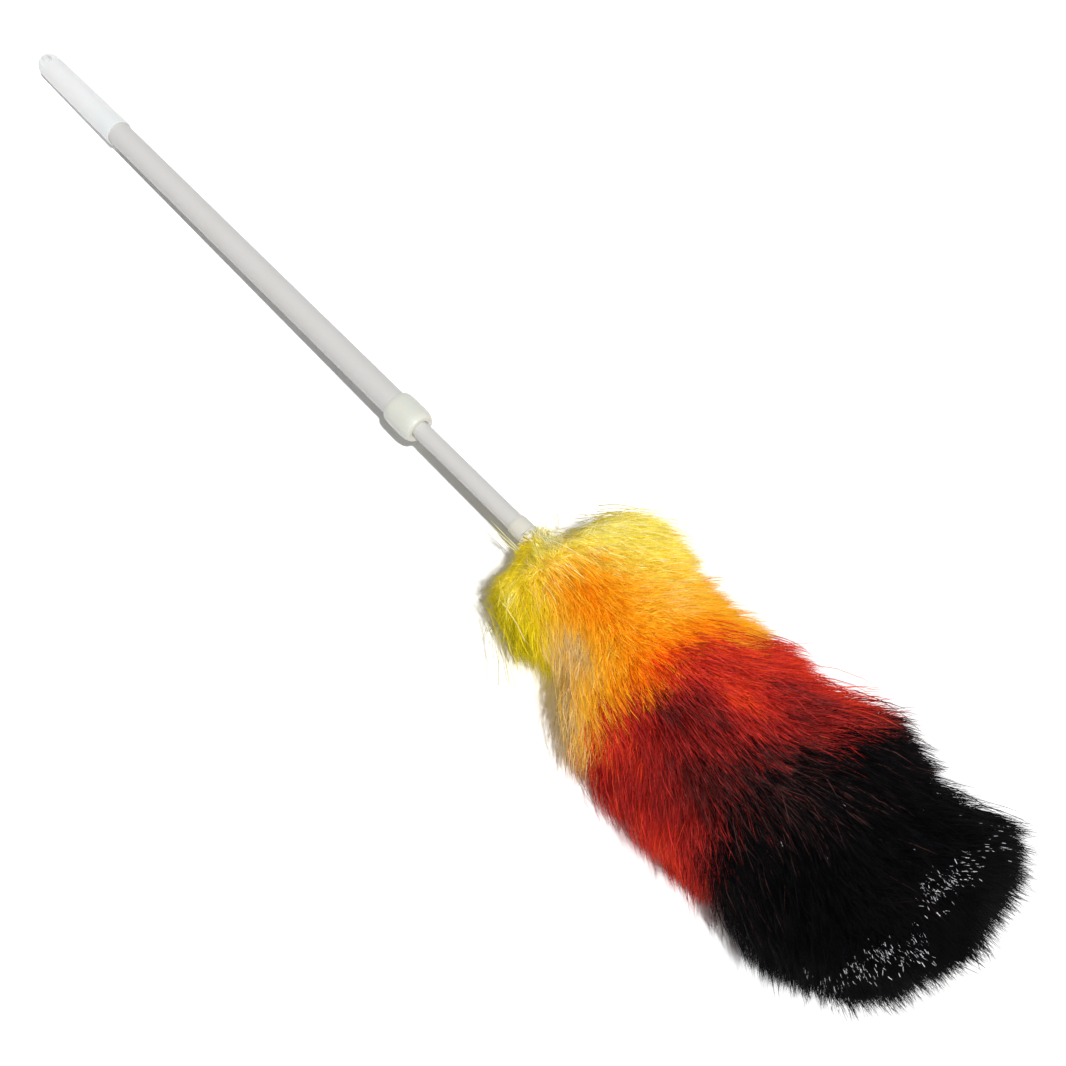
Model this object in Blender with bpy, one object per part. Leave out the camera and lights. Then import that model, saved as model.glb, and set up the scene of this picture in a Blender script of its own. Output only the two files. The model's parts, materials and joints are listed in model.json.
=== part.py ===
"""Extendable duster: a two-stage twist-lock pole with a soft head in four colours.

Units are metres and +Z is up. The duster lies as it is put down on a table, on the closed
end of its grip and on the underside of its pile. Every piece is modelled along +X from its
own origin, which lies on the axis of the pole, and hangs from an empty that holds the
pole's slight slope. Distances called "at" are measured along that axis from the closed end
of the grip. The pieces nest from the inside out, so a change of one tube carries through.
"""

import math

import bmesh
import bpy
from mathutils import Matrix, Vector

# Fits
RUNNING_CLEARANCE = 0.00008
SEAT_GAP = 0.0003
SIDES = 36

# How the duster lies
SLOPE_DEG = 2.5

# Hand grip: a soft translucent sleeve with a solid end that holds the hanging eye
GRIP_LENGTH = 0.1126
GRIP_WALL = 0.00085
GRIP_TAPER = 0.0010
GRIP_DOME_LENGTH = 0.012
GRIP_SOLID_END = 0.0190
GRIP_STOP_STEP = 0.0012
GRIP_MOUTH_ROUND = 0.0004
EYE_LENGTH = 0.0100
EYE_WIDTH = 0.0066
EYE_RIM = 0.0034
EYE_CHEEK_THICKNESS = 0.0132
EYE_CHEEK_LENGTH = 0.0160

# Outer tube
TUBE_WALL = 0.0015
TUBE_VISIBLE = 0.3497
TUBE_IN_GRIP = 0.022
TUBE_IN_COLLAR = 0.0045

# Inner tube
INNER_TUBE_RADIUS = 0.00625
INNER_TUBE_WALL = 0.00125
INNER_TUBE_LENGTH = 0.417
INNER_VISIBLE = 0.0993

# Collet sleeve: spigot in the tube, flange, thread barrel and sprung fingers
SPIGOT_WALL = 0.00137
SPIGOT_LENGTH = 0.022
FLANGE_LENGTH = 0.0018
RELIEF_LENGTH = 0.0010
RELIEF_DEPTH = 0.0006
THREAD_LENGTH = 0.0070
THREAD_LIP = 0.0003
FINGER_LENGTH = 0.0080
FINGER_ROOT_WALL = 0.0022
FINGER_TIP_WALL = 0.0010
FINGER_COUNT = 6
FINGER_SLOT_WIDTH = 0.0010
FINGER_SLOT_ROOT = 0.0020

# Pressure ring between the collar and the fingers
RING_LENGTH = 0.0060
RING_OVERLAP = 0.0053
RING_CONE_GAP = 0.0001

# Lock collar: a barrel-shaped nut
COLLAR_WALL = 0.0029
COLLAR_FRONT_WALL = 0.0030
COLLAR_NOSE_WALL = 0.0030
COLLAR_REAR_LIP = 0.0014
COLLAR_REAR_ROUND = 0.0060
COLLAR_FRONT_ROUND = 0.0085
COLLAR_HOLE_GAP = 0.00035
COLLAR_MOUTH_CHAMFER = 0.0008
COLLAR_ROUND_STEPS = 5

# End plug of the inner tube and the split bush that snaps into its groove
PLUG_SPIGOT_LENGTH = 0.012
PLUG_FLANGE_LENGTH = 0.0022
PLUG_FLANGE_OVER = 0.0007
PLUG_NECK_RADIUS = 0.0050
PLUG_BORE_RADIUS = 0.0030
PLUG_CHAMFER = 0.0006
BUSH_LENGTH = 0.0080
BUSH_SPLIT_WIDTH = 0.0012
BUSH_CHAMFER = 0.0004

# Head ferrule: a sleeve over the end of the inner tube, with a bored spigot inside it
FERRULE_VISIBLE = 0.0161
FERRULE_IN_PILE = 0.0042
FERRULE_SOCKET_DEPTH = 0.0160
FERRULE_WALL = 0.00075
FERRULE_BEAD = 0.0007
FERRULE_BEAD_LENGTH = 0.0046
FERRULE_BEAD_SETBACK = 0.0018
FERRULE_LEAD_IN = 0.0022
FERRULE_SPIGOT_REACH = 0.0120
FERRULE_NOSE_STEP = 0.0010

# Core rod with its tenon, backing strips and tip cap
ROD_RADIUS = 0.0040
ROD_TENON_RADIUS = 0.0028
ROD_TIP_MARGIN = 0.050
ROD_CHAMFER = 0.0008
STRIP_THICKNESS = 0.0012
STRIP_WIDTH = 0.0105
STRIP_PITCH = 0.0120
STRIP_STEPS_PER_TURN = 14
STRIP_END_GAP = 0.0010
CAP_LENGTH = 0.0120
CAP_WALL = 0.0014
CAP_END = 0.0030

# Pile: lengths of the tiers along the rod, radii of the whole head, and its locks
YELLOW_LENGTH = 0.078
ORANGE_LENGTH = 0.067
RED_LENGTH = 0.096
BLACK_LENGTH = 0.052
TIP_LENGTH = 0.069
PILE_FLARE_RADIUS = 0.0605
PILE_WAIST_RADIUS = 0.0590
PILE_MIDDLE_RADIUS = 0.0725
PILE_FULL_RADIUS = 0.0770
PILE_TIP_RADIUS = 0.0725
PILE_TIP_ROUND = 0.035
PILE_TIP_BLUNTNESS = 2.4
PILE_START_WALL = 0.0025
PILE_SWEEP = 0.034
PILE_TIER_STEP = 0.0060
PILE_LOCKS = 9
PILE_LOCK_DEPTH = 0.0022
PILE_SCALLOP = 0.0030
PILE_SLANTS = (0.0, 0.0060, 0.0180, 0.0100, 0.0)
PILE_SLANT_TOWARD_DEG = 40
PILE_TIER_GAP = 0.0005
PILE_HEIGHT_RATIO = 0.94
PILE_SIDES = 36

# Pile: its heavy side, how far it leans back there, and the slant of its tip
PILE_HEAVY_SIDE_DEG = 200
PILE_WAIST_SWELL = -0.12
PILE_BELLY_SWELL = 0.16
PILE_SHOULDER_SWELL = 0.08
PILE_BACK_SWEEP = 0.0133
PILE_TIP_SLANT = 0.0055
PILE_LEAN_DEPTH = 0.030
FLOOR_MARGIN = 0.05

# Radii that follow from the nesting
SPIGOT_BORE = INNER_TUBE_RADIUS + RUNNING_CLEARANCE
TUBE_BORE = SPIGOT_BORE + SPIGOT_WALL + SEAT_GAP
TUBE_RADIUS = TUBE_BORE + TUBE_WALL
GRIP_SOCKET_RADIUS = TUBE_RADIUS + SEAT_GAP
GRIP_MOUTH_RADIUS = GRIP_SOCKET_RADIUS + GRIP_WALL
GRIP_END_RADIUS = GRIP_MOUTH_RADIUS - GRIP_TAPER
THREAD_RADIUS = TUBE_RADIUS - THREAD_LIP
COLLAR_BORE = THREAD_RADIUS + RUNNING_CLEARANCE
COLLAR_REAR_BORE = TUBE_RADIUS + RUNNING_CLEARANCE
COLLAR_RADIUS = COLLAR_REAR_BORE + COLLAR_WALL
COLLAR_HOLE = INNER_TUBE_RADIUS + COLLAR_HOLE_GAP
INNER_TUBE_BORE = INNER_TUBE_RADIUS - INNER_TUBE_WALL
FERRULE_BORE = INNER_TUBE_RADIUS + SEAT_GAP
FERRULE_RADIUS = FERRULE_BORE + FERRULE_WALL
TENON_BORE = ROD_TENON_RADIUS + SEAT_GAP
STRIP_INNER = ROD_RADIUS + SEAT_GAP
STRIP_OUTER = STRIP_INNER + STRIP_THICKNESS
CAP_RADIUS = ROD_RADIUS + SEAT_GAP + CAP_WALL
PILE_BORE = max(STRIP_OUTER, CAP_RADIUS) + SEAT_GAP
PILE_REAR_BORE = FERRULE_RADIUS + FERRULE_BEAD + SEAT_GAP
PILE_START_RADIUS = PILE_REAR_BORE + PILE_START_WALL

# Places along the axis that follow from the lengths
TUBE_AT = GRIP_LENGTH - TUBE_IN_GRIP
COLLAR_AT = GRIP_LENGTH + TUBE_VISIBLE
TUBE_END_AT = COLLAR_AT + TUBE_IN_COLLAR
FLANGE_AT = TUBE_END_AT + SEAT_GAP
FINGERS_AT = FLANGE_AT + FLANGE_LENGTH + RELIEF_LENGTH + THREAD_LENGTH
FINGERS_END_AT = FINGERS_AT + FINGER_LENGTH
RING_AT = FINGERS_END_AT - RING_OVERLAP
COLLAR_FLOOR_AT = RING_AT + RING_LENGTH + SEAT_GAP
COLLAR_END_AT = COLLAR_FLOOR_AT + COLLAR_FRONT_WALL
FERRULE_AT = COLLAR_END_AT + INNER_VISIBLE
INNER_END_AT = FERRULE_AT + FERRULE_SOCKET_DEPTH - SEAT_GAP
INNER_AT = INNER_END_AT - INNER_TUBE_LENGTH
PLUG_GROOVE = BUSH_LENGTH + 2 * RUNNING_CLEARANCE
PLUG_HEAD_LENGTH = PLUG_GROOVE + 2 * PLUG_FLANGE_LENGTH
PLUG_AT = INNER_AT - SEAT_GAP - PLUG_HEAD_LENGTH
BUSH_AT = PLUG_AT + PLUG_FLANGE_LENGTH + RUNNING_CLEARANCE
PILE_AT = FERRULE_AT + FERRULE_VISIBLE
FERRULE_END_AT = PILE_AT + FERRULE_IN_PILE
TENON_AT = FERRULE_AT - FERRULE_SPIGOT_REACH + SEAT_GAP
ROD_AT = FERRULE_END_AT + SEAT_GAP
TIER_LENGTHS = (YELLOW_LENGTH, ORANGE_LENGTH, RED_LENGTH, BLACK_LENGTH, TIP_LENGTH)
HEAD_LENGTH = sum(TIER_LENGTHS)
ROD_END_AT = PILE_AT + HEAD_LENGTH - ROD_TIP_MARGIN
CAP_AT = ROD_END_AT + SEAT_GAP + CAP_END - CAP_LENGTH
CAP_END_AT = CAP_AT + CAP_LENGTH
STRIPS_AT = ROD_AT + STRIP_END_GAP
STRIPS_END_AT = CAP_AT - SEAT_GAP
TIER_ENDS = [sum(TIER_LENGTHS[: count + 1]) for count in range(len(TIER_LENGTHS))]
TIER_ROOTS = [0.0] + [end - PILE_SWEEP for end in TIER_ENDS[:-1]]
TIER_NAMES = ("yellow_pile", "orange_pile", "red_pile", "black_pile", "tip_pile")
STRIP_NAMES = ("yellow_strip", "orange_strip", "red_strip", "black_strip")

# Outline of the pile as (distance from its start, radius)
PILE_OUTLINE = (
    (0.000, PILE_START_RADIUS),
    (0.006, 0.24 * PILE_FLARE_RADIUS),
    (0.011, 0.43 * PILE_FLARE_RADIUS),
    (0.017, 0.64 * PILE_FLARE_RADIUS),
    (0.022, 0.79 * PILE_FLARE_RADIUS),
    (0.028, 0.88 * PILE_FLARE_RADIUS),
    (0.037, 0.96 * PILE_FLARE_RADIUS),
    (0.050, PILE_FLARE_RADIUS),
    (0.070, PILE_WAIST_RADIUS),
    (0.082, PILE_WAIST_RADIUS),
    (0.106, 0.86 * PILE_MIDDLE_RADIUS),
    (0.140, 0.96 * PILE_MIDDLE_RADIUS),
    (0.185, PILE_MIDDLE_RADIUS),
    (0.252, PILE_FULL_RADIUS),
    (0.290, 0.97 * PILE_FULL_RADIUS),
    (HEAD_LENGTH, PILE_TIP_RADIUS),
)

# How much more it swells on its heavy side as (distance, share of the radius)
PILE_SWELL = (
    (0.030, 0.0),
    (0.056, 0.8 * PILE_WAIST_SWELL),
    (0.070, PILE_WAIST_SWELL),
    (0.094, 0.2 * PILE_BELLY_SWELL),
    (0.120, PILE_BELLY_SWELL),
    (0.160, PILE_BELLY_SWELL),
    (0.206, 0.8 * PILE_BELLY_SWELL),
    (0.252, 0.2 * PILE_BELLY_SWELL),
    (0.290, PILE_SHOULDER_SWELL),
    (0.325, 0.0),
)

# How far its surface leans back on its heavy side as (distance, lean)
PILE_LEAN = (
    (0.000, 0.0),
    (0.011, 0.4 * PILE_BACK_SWEEP),
    (0.017, 0.8 * PILE_BACK_SWEEP),
    (0.022, PILE_BACK_SWEEP),
    (0.034, 0.6 * PILE_BACK_SWEEP),
    (0.050, 0.0),
    (0.290, 0.0),
    (0.350, PILE_TIP_SLANT),
)

# Name, colour, roughness of every finish
FINISHES = {
    "tube_grey": ((0.60, 0.60, 0.58), 0.42),
    "grip_clear": ((0.82, 0.85, 0.86), 0.30),
    "collar_white": ((0.74, 0.76, 0.70), 0.38),
    "natural_nylon": ((0.78, 0.77, 0.72), 0.45),
    "ferrule_white": ((0.72, 0.71, 0.68), 0.40),
    "rod_white": ((0.70, 0.70, 0.68), 0.50),
    "yellow_pile": ((0.80, 0.62, 0.06), 0.80),
    "orange_pile": ((0.85, 0.30, 0.02), 0.80),
    "red_pile": ((0.45, 0.02, 0.02), 0.80),
    "black_pile": ((0.010, 0.010, 0.011), 0.75),
}


def clear_scene():
    """Removes whatever the file holds before the duster is built."""
    for obj in list(bpy.data.objects):
        bpy.data.objects.remove(obj, do_unlink=True)


def finish(name):
    """Returns the named material, made once from FINISHES."""
    material = bpy.data.materials.get(name)
    if material is None:
        colour, roughness = FINISHES[name]
        material = bpy.data.materials.new(name)
        material.use_nodes = True
        shader = material.node_tree.nodes["Principled BSDF"]
        shader.inputs["Base Color"].default_value = (*colour, 1.0)
        shader.inputs["Roughness"].default_value = roughness
    return material


def add_object(name, mesh, parent, at, finish_name=None):
    """Links a mesh under its parent, with its origin on the axis at the given distance."""
    obj = bpy.data.objects.new(name, mesh)
    bpy.context.scene.collection.objects.link(obj)
    obj.parent = parent
    obj.location = (at, 0.0, 0.0)
    if finish_name:
        mesh.materials.append(finish(finish_name))
    return obj


def add_empty(name, parent=None):
    """Adds an empty on the axis, at the closed end, for one group that moves together."""
    empty = bpy.data.objects.new(name, None)
    bpy.context.scene.collection.objects.link(empty)
    empty.parent = parent
    return empty


def mesh_from(bm, name):
    """Turns a bmesh into a smooth-shaded mesh whose faces point out."""
    bmesh.ops.recalc_face_normals(bm, faces=bm.faces)
    mesh = bpy.data.meshes.new(name)
    bm.to_mesh(mesh)
    bm.free()
    mesh.shade_smooth()
    mesh.set_sharp_from_angle(angle=math.radians(35))
    return mesh


def turned(name, profile, sides=SIDES):
    """Spins a closed outline of (along, radius) points round +X into a mesh."""
    bm = bmesh.new()
    verts = [bm.verts.new((along, 0.0, radius)) for along, radius in profile]
    edges = [bm.edges.new(pair) for pair in zip(verts, verts[1:])]
    if profile[0][1] > 0.0 or profile[-1][1] > 0.0:
        edges.append(bm.edges.new((verts[-1], verts[0])))
    spin = {"cent": (0, 0, 0), "axis": (1, 0, 0), "dvec": (0, 0, 0), "angle": math.tau}
    bmesh.ops.spin(bm, geom=verts + edges, steps=sides, use_merge=True, **spin)
    bmesh.ops.remove_doubles(bm, verts=bm.verts, dist=1e-6)
    return mesh_from(bm, name)


def quarter_round(start, end, steps, outward=True):
    """Points of a quarter ellipse between two (along, radius) points, both included."""
    points = []
    for step in range(steps + 1):
        angle = math.pi / 2 * step / steps
        across, up = (1 - math.cos(angle), math.sin(angle))
        if not outward:
            across, up = up, 1 - math.cos(angle)
        points.append((start[0] + (end[0] - start[0]) * across, start[1] + (end[1] - start[1]) * up))
    return points


def hide_cutter(obj):
    """Marks an object as a cutter, which is no piece of the duster."""
    obj.hide_render = True
    obj.display_type = "WIRE"


def box_mesh(name, low, high):
    """An axis-aligned box between two corners."""
    bm = bmesh.new()
    bmesh.ops.create_cube(bm, size=1.0)
    size = Vector(high) - Vector(low)
    bm.transform(Matrix.Translation((Vector(high) + Vector(low)) / 2) @ Matrix.Diagonal((*size, 1.0)))
    return mesh_from(bm, name)


def cut(obj, cutter):
    """Cuts one object out of another with an exact Boolean."""
    modifier = obj.modifiers.new("cut_" + cutter.name, "BOOLEAN")
    modifier.operation = "DIFFERENCE"
    modifier.solver = "EXACT"
    modifier.object = cutter
    hide_cutter(cutter)


def grip_outline():
    """Outer outline of the grip, from the closed end to its mouth."""
    dome = quarter_round((0.0, 0.0), (GRIP_DOME_LENGTH, GRIP_END_RADIUS), 7)
    mouth = quarter_round(
        (GRIP_LENGTH - GRIP_MOUTH_ROUND, GRIP_MOUTH_RADIUS),
        (GRIP_LENGTH, GRIP_MOUTH_RADIUS - GRIP_MOUTH_ROUND),
        2,
        outward=False,
    )
    return dome + mouth


def lowest_axis_height(slope):
    """Height of the axis over the table at the closed end, where the grip touches the table."""
    taper_length = GRIP_LENGTH - GRIP_MOUTH_ROUND - GRIP_DOME_LENGTH
    share = (EYE_CHEEK_LENGTH - GRIP_DOME_LENGTH) / taper_length
    radius = GRIP_END_RADIUS + (GRIP_MOUTH_RADIUS - GRIP_END_RADIUS) * share
    return radius * math.cos(slope) - EYE_CHEEK_LENGTH * math.sin(slope)


def slot_mesh(name, length, width, depth, steps=6):
    """A prism along Z with a slot-shaped outline centred on the origin."""
    bm = bmesh.new()
    verts = []
    for side in (1, -1):
        centre = side * (length - width) / 2
        start = -math.pi / 2 if side > 0 else math.pi / 2
        for step in range(steps + 1):
            angle = start + math.pi * step / steps
            place = (centre + width / 2 * math.cos(angle), width / 2 * math.sin(angle), -depth / 2)
            verts.append(bm.verts.new(place))
    face = bm.faces.new(verts)
    lifted = bmesh.ops.extrude_face_region(bm, geom=[face])["geom"]
    moved = [item for item in lifted if isinstance(item, bmesh.types.BMVert)]
    bmesh.ops.translate(bm, verts=moved, vec=(0, 0, depth))
    return mesh_from(bm, name)


def build_hand_grip(parent):
    """Soft sleeve, stepped inside as a stop for the tube, with a flat-cheeked eye at its end."""
    stop_at = GRIP_LENGTH - TUBE_IN_GRIP - SEAT_GAP
    cavity_radius = GRIP_SOCKET_RADIUS - GRIP_STOP_STEP
    inside = [
        (GRIP_LENGTH, GRIP_SOCKET_RADIUS),
        (stop_at, GRIP_SOCKET_RADIUS),
        (stop_at, cavity_radius),
        (GRIP_SOLID_END + cavity_radius / 2, cavity_radius - GRIP_TAPER),
        (GRIP_SOLID_END, cavity_radius / 2),
        (GRIP_SOLID_END, 0.0),
    ]
    grip = add_object("hand_grip", turned("hand_grip", grip_outline() + inside), parent, 0.0, "grip_clear")
    reach = 4 * GRIP_MOUTH_RADIUS
    eye_at = EYE_RIM + EYE_LENGTH / 2
    eye = add_object("eye_cutter", slot_mesh("eye_cutter", EYE_LENGTH, EYE_WIDTH, reach), parent, eye_at)
    cut(grip, eye)
    half = EYE_CHEEK_THICKNESS / 2
    for side in (1, -1):
        low = (-reach, -reach, half if side > 0 else -reach)
        high = (EYE_CHEEK_LENGTH, reach, reach if side > 0 else -half)
        name = f"cheek_cutter_{'upper' if side > 0 else 'lower'}"
        cut(grip, add_object(name, box_mesh(name, low, high), parent, 0.0))
    return grip


def build_outer_tube(parent):
    """Plain tube from the stop in the grip to the flange of the collet sleeve."""
    length = TUBE_END_AT - TUBE_AT
    profile = [(0, TUBE_RADIUS), (length, TUBE_RADIUS), (length, TUBE_BORE), (0, TUBE_BORE)]
    return add_object("outer_tube", turned("outer_tube", profile), parent, TUBE_AT, "tube_grey")


def finger_radius(at):
    """Outer radius of the fingers' cone at a distance along the axis."""
    share = (at - FINGERS_AT) / FINGER_LENGTH
    wall = FINGER_ROOT_WALL + (FINGER_TIP_WALL - FINGER_ROOT_WALL) * share
    return SPIGOT_BORE + wall


def build_collet_sleeve(parent):
    """Sleeve in the tube's mouth: spigot, flange, thread barrel and slotted tapered fingers."""
    spigot_at = FLANGE_AT - SPIGOT_LENGTH
    spigot_radius = SPIGOT_BORE + SPIGOT_WALL
    relief_at = FLANGE_AT + FLANGE_LENGTH
    thread_at = relief_at + RELIEF_LENGTH
    outline = [
        (spigot_at, spigot_radius),
        (FLANGE_AT, spigot_radius),
        (FLANGE_AT, THREAD_RADIUS),
        (relief_at, THREAD_RADIUS),
        (relief_at, THREAD_RADIUS - RELIEF_DEPTH),
        (thread_at, THREAD_RADIUS - RELIEF_DEPTH),
        (thread_at, THREAD_RADIUS),
        (FINGERS_AT, THREAD_RADIUS),
        (FINGERS_AT, finger_radius(FINGERS_AT)),
        (FINGERS_END_AT, finger_radius(FINGERS_END_AT)),
        (FINGERS_END_AT, SPIGOT_BORE),
        (spigot_at, SPIGOT_BORE),
    ]
    profile = [(at - FLANGE_AT, radius) for at, radius in outline]
    sleeve = add_object("collet_sleeve", turned("collet_sleeve", profile), parent, FLANGE_AT, "natural_nylon")
    low = (FINGERS_AT - FINGER_SLOT_ROOT - FLANGE_AT, -FINGER_SLOT_WIDTH / 2, -2 * THREAD_RADIUS)
    high = (FINGERS_END_AT + THREAD_LENGTH - FLANGE_AT, FINGER_SLOT_WIDTH / 2, 2 * THREAD_RADIUS)
    for index in range(FINGER_COUNT // 2):
        slot = add_object(f"slot_cutter_{index}", box_mesh("slot_cutter", low, high), parent, FLANGE_AT)
        slot.rotation_euler.x = math.tau * (index + 0.5) / FINGER_COUNT
        cut(sleeve, slot)
    return sleeve


def build_pressure_ring(parent):
    """Ring with an inner cone that the collar pushes over the fingers."""
    rear = finger_radius(RING_AT) + RING_CONE_GAP
    front = finger_radius(FINGERS_END_AT) + RING_CONE_GAP
    tip_along = FINGERS_END_AT - RING_AT
    outer = THREAD_RADIUS
    profile = [
        (0, outer),
        (RING_LENGTH, outer),
        (RING_LENGTH, front),
        (tip_along, front),
        (0, rear),
    ]
    return add_object("pressure_ring", turned("pressure_ring", profile), parent, RING_AT, "natural_nylon")


def build_lock_collar(parent):
    """Barrel nut: rounded at both ends, threaded inside, with a nose round the inner tube."""
    length = COLLAR_END_AT - COLLAR_AT
    rear_radius = COLLAR_REAR_BORE + COLLAR_REAR_LIP
    nose_radius = COLLAR_HOLE + COLLAR_NOSE_WALL
    rear = quarter_round((0.0, rear_radius), (COLLAR_REAR_ROUND, COLLAR_RADIUS), COLLAR_ROUND_STEPS)
    front = quarter_round(
        (length - COLLAR_FRONT_ROUND, COLLAR_RADIUS),
        (length, nose_radius),
        COLLAR_ROUND_STEPS,
        outward=False,
    )
    inside = [
        (length, COLLAR_HOLE + COLLAR_MOUTH_CHAMFER),
        (length - COLLAR_MOUTH_CHAMFER, COLLAR_HOLE),
        (COLLAR_FLOOR_AT - COLLAR_AT, COLLAR_HOLE),
        (COLLAR_FLOOR_AT - COLLAR_AT, COLLAR_BORE),
        (TUBE_IN_COLLAR + SEAT_GAP, COLLAR_BORE),
        (TUBE_IN_COLLAR + SEAT_GAP, COLLAR_REAR_BORE),
        (0.0, COLLAR_REAR_BORE),
    ]
    mesh = turned("lock_collar", rear + front + inside)
    return add_object("lock_collar", mesh, parent, COLLAR_AT, "collar_white")


def build_guide_bush(parent):
    """Split bush that runs in the outer tube and snaps into the groove of the end plug."""
    outer = TUBE_BORE - RUNNING_CLEARANCE
    inner = PLUG_NECK_RADIUS + RUNNING_CLEARANCE
    profile = [
        (0, outer - BUSH_CHAMFER),
        (BUSH_CHAMFER, outer),
        (BUSH_LENGTH - BUSH_CHAMFER, outer),
        (BUSH_LENGTH, outer - BUSH_CHAMFER),
        (BUSH_LENGTH, inner),
        (0, inner),
    ]
    bush = add_object("guide_bush", turned("guide_bush", profile), parent, BUSH_AT, "natural_nylon")
    low = (-BUSH_LENGTH, -BUSH_SPLIT_WIDTH / 2, 0.0)
    high = (2 * BUSH_LENGTH, BUSH_SPLIT_WIDTH / 2, 2 * outer)
    cut(bush, add_object("bush_split_cutter", box_mesh("bush_split_cutter", low, high), parent, BUSH_AT))
    return bush


def build_end_plug(parent):
    """Plug in the rear end of the inner tube, with a groove between two flanges for the bush."""
    flange = INNER_TUBE_RADIUS + PLUG_FLANGE_OVER
    front_flange = PLUG_FLANGE_LENGTH + PLUG_GROOVE
    spigot_radius = INNER_TUBE_BORE - SEAT_GAP
    end = PLUG_HEAD_LENGTH + SEAT_GAP + PLUG_SPIGOT_LENGTH
    profile = [
        (0, flange - PLUG_CHAMFER),
        (PLUG_CHAMFER, flange),
        (PLUG_FLANGE_LENGTH, flange),
        (PLUG_FLANGE_LENGTH, PLUG_NECK_RADIUS),
        (front_flange, PLUG_NECK_RADIUS),
        (front_flange, flange),
        (PLUG_HEAD_LENGTH, flange),
        (PLUG_HEAD_LENGTH, spigot_radius),
        (end - PLUG_CHAMFER, spigot_radius),
        (end, spigot_radius - PLUG_CHAMFER),
        (end, PLUG_BORE_RADIUS),
        (0, PLUG_BORE_RADIUS),
    ]
    return add_object("end_plug", turned("end_plug", profile), parent, PLUG_AT, "natural_nylon")


def build_inner_tube(parent):
    """Sliding tube of the pole."""
    radius, bore = INNER_TUBE_RADIUS, INNER_TUBE_BORE
    profile = [(0, radius), (INNER_TUBE_LENGTH, radius), (INNER_TUBE_LENGTH, bore), (0, bore)]
    return add_object("inner_tube", turned("inner_tube", profile), parent, INNER_AT, "tube_grey")


def build_head_ferrule(parent):
    """Beaded sleeve over the inner tube's end, with a bored spigot that holds the rod's tenon."""
    length = FERRULE_VISIBLE + FERRULE_IN_PILE
    bead_end = FERRULE_VISIBLE - FERRULE_BEAD_SETBACK + FERRULE_BEAD_LENGTH / 2
    bead_at = bead_end - FERRULE_BEAD_LENGTH
    bead_radius = FERRULE_RADIUS + FERRULE_BEAD
    spigot_radius = INNER_TUBE_BORE - SEAT_GAP
    profile = [
        (0, FERRULE_BORE),
        (0, FERRULE_BORE + FERRULE_WALL / 2),
        (FERRULE_LEAD_IN, FERRULE_RADIUS),
        (bead_at, FERRULE_RADIUS),
        (bead_at + FERRULE_BEAD, bead_radius),
        (bead_end - FERRULE_BEAD, bead_radius),
        (bead_end, FERRULE_RADIUS),
        (length - FERRULE_NOSE_STEP, FERRULE_RADIUS),
        (length, FERRULE_RADIUS - FERRULE_NOSE_STEP),
        (length, TENON_BORE),
        (-FERRULE_SPIGOT_REACH, TENON_BORE),
        (-FERRULE_SPIGOT_REACH, spigot_radius),
        (FERRULE_SOCKET_DEPTH, spigot_radius),
        (FERRULE_SOCKET_DEPTH, FERRULE_BORE),
    ]
    mesh = turned("head_ferrule", profile)
    return add_object("head_ferrule", mesh, parent, FERRULE_AT, "ferrule_white")


def build_core_rod(parent):
    """Rod that carries the pile: a tenon through the ferrule, a shoulder and a chamfered end."""
    length = ROD_END_AT - ROD_AT
    tenon = TENON_AT - ROD_AT
    profile = [
        (tenon, 0),
        (tenon, ROD_TENON_RADIUS - ROD_CHAMFER),
        (tenon + ROD_CHAMFER, ROD_TENON_RADIUS),
        (0, ROD_TENON_RADIUS),
        (0, ROD_RADIUS),
        (length - ROD_CHAMFER, ROD_RADIUS),
        (length, ROD_RADIUS - ROD_CHAMFER),
        (length, 0),
    ]
    return add_object("core_rod", turned("core_rod", profile), parent, ROD_AT, "rod_white")


def build_tip_cap(parent):
    """Domed cap on the end of the core rod, which closes the winding."""
    socket_radius = ROD_RADIUS + SEAT_GAP
    floor = CAP_LENGTH - CAP_END
    dome = quarter_round((floor, CAP_RADIUS), (CAP_LENGTH, 0.0), 4, outward=False)
    profile = [(floor, 0.0), (floor, socket_radius), (0, socket_radius), (0, CAP_RADIUS)] + dome
    return add_object("tip_cap", turned("tip_cap", profile), parent, CAP_AT, "rod_white")


def strip_mesh(name, length):
    """Flat strip wound on the rod as one open helix, as long along the rod as given."""
    bm = bmesh.new()
    turns = (length - STRIP_WIDTH) / STRIP_PITCH
    steps = max(2, round(turns * STRIP_STEPS_PER_TURN))
    rings = []
    for step in range(steps + 1):
        angle = math.tau * turns * step / steps
        along = (length - STRIP_WIDTH) * step / steps
        corners = ((0, STRIP_INNER), (STRIP_WIDTH, STRIP_INNER), (STRIP_WIDTH, STRIP_OUTER), (0, STRIP_OUTER))
        ring = []
        for shift, radius in corners:
            place = (along + shift, radius * math.cos(angle), radius * math.sin(angle))
            ring.append(bm.verts.new(place))
        rings.append(ring)
    for ring, following in zip(rings, rings[1:]):
        for corner in range(4):
            beside = (corner + 1) % 4
            bm.faces.new((ring[corner], ring[beside], following[beside], following[corner]))
    bm.faces.new(rings[0])
    bm.faces.new(rings[-1])
    return mesh_from(bm, name)


def build_backing_strips(parent):
    """One wound strip for each colour of pile, end to end along the rod."""
    ends = [PILE_AT + root for root in TIER_ROOTS[1 : len(STRIP_NAMES)]] + [STRIPS_END_AT]
    start = STRIPS_AT
    for name, end in zip(STRIP_NAMES, ends):
        mesh = strip_mesh(name, end - STRIP_END_GAP - start)
        add_object(name, mesh, parent, start, name.replace("strip", "pile"))
        start = end
    gap = (STRIP_PITCH - STRIP_WIDTH) * 1000
    print(f"least gap between the turns of a backing strip: {gap:.2f} mm")


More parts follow.
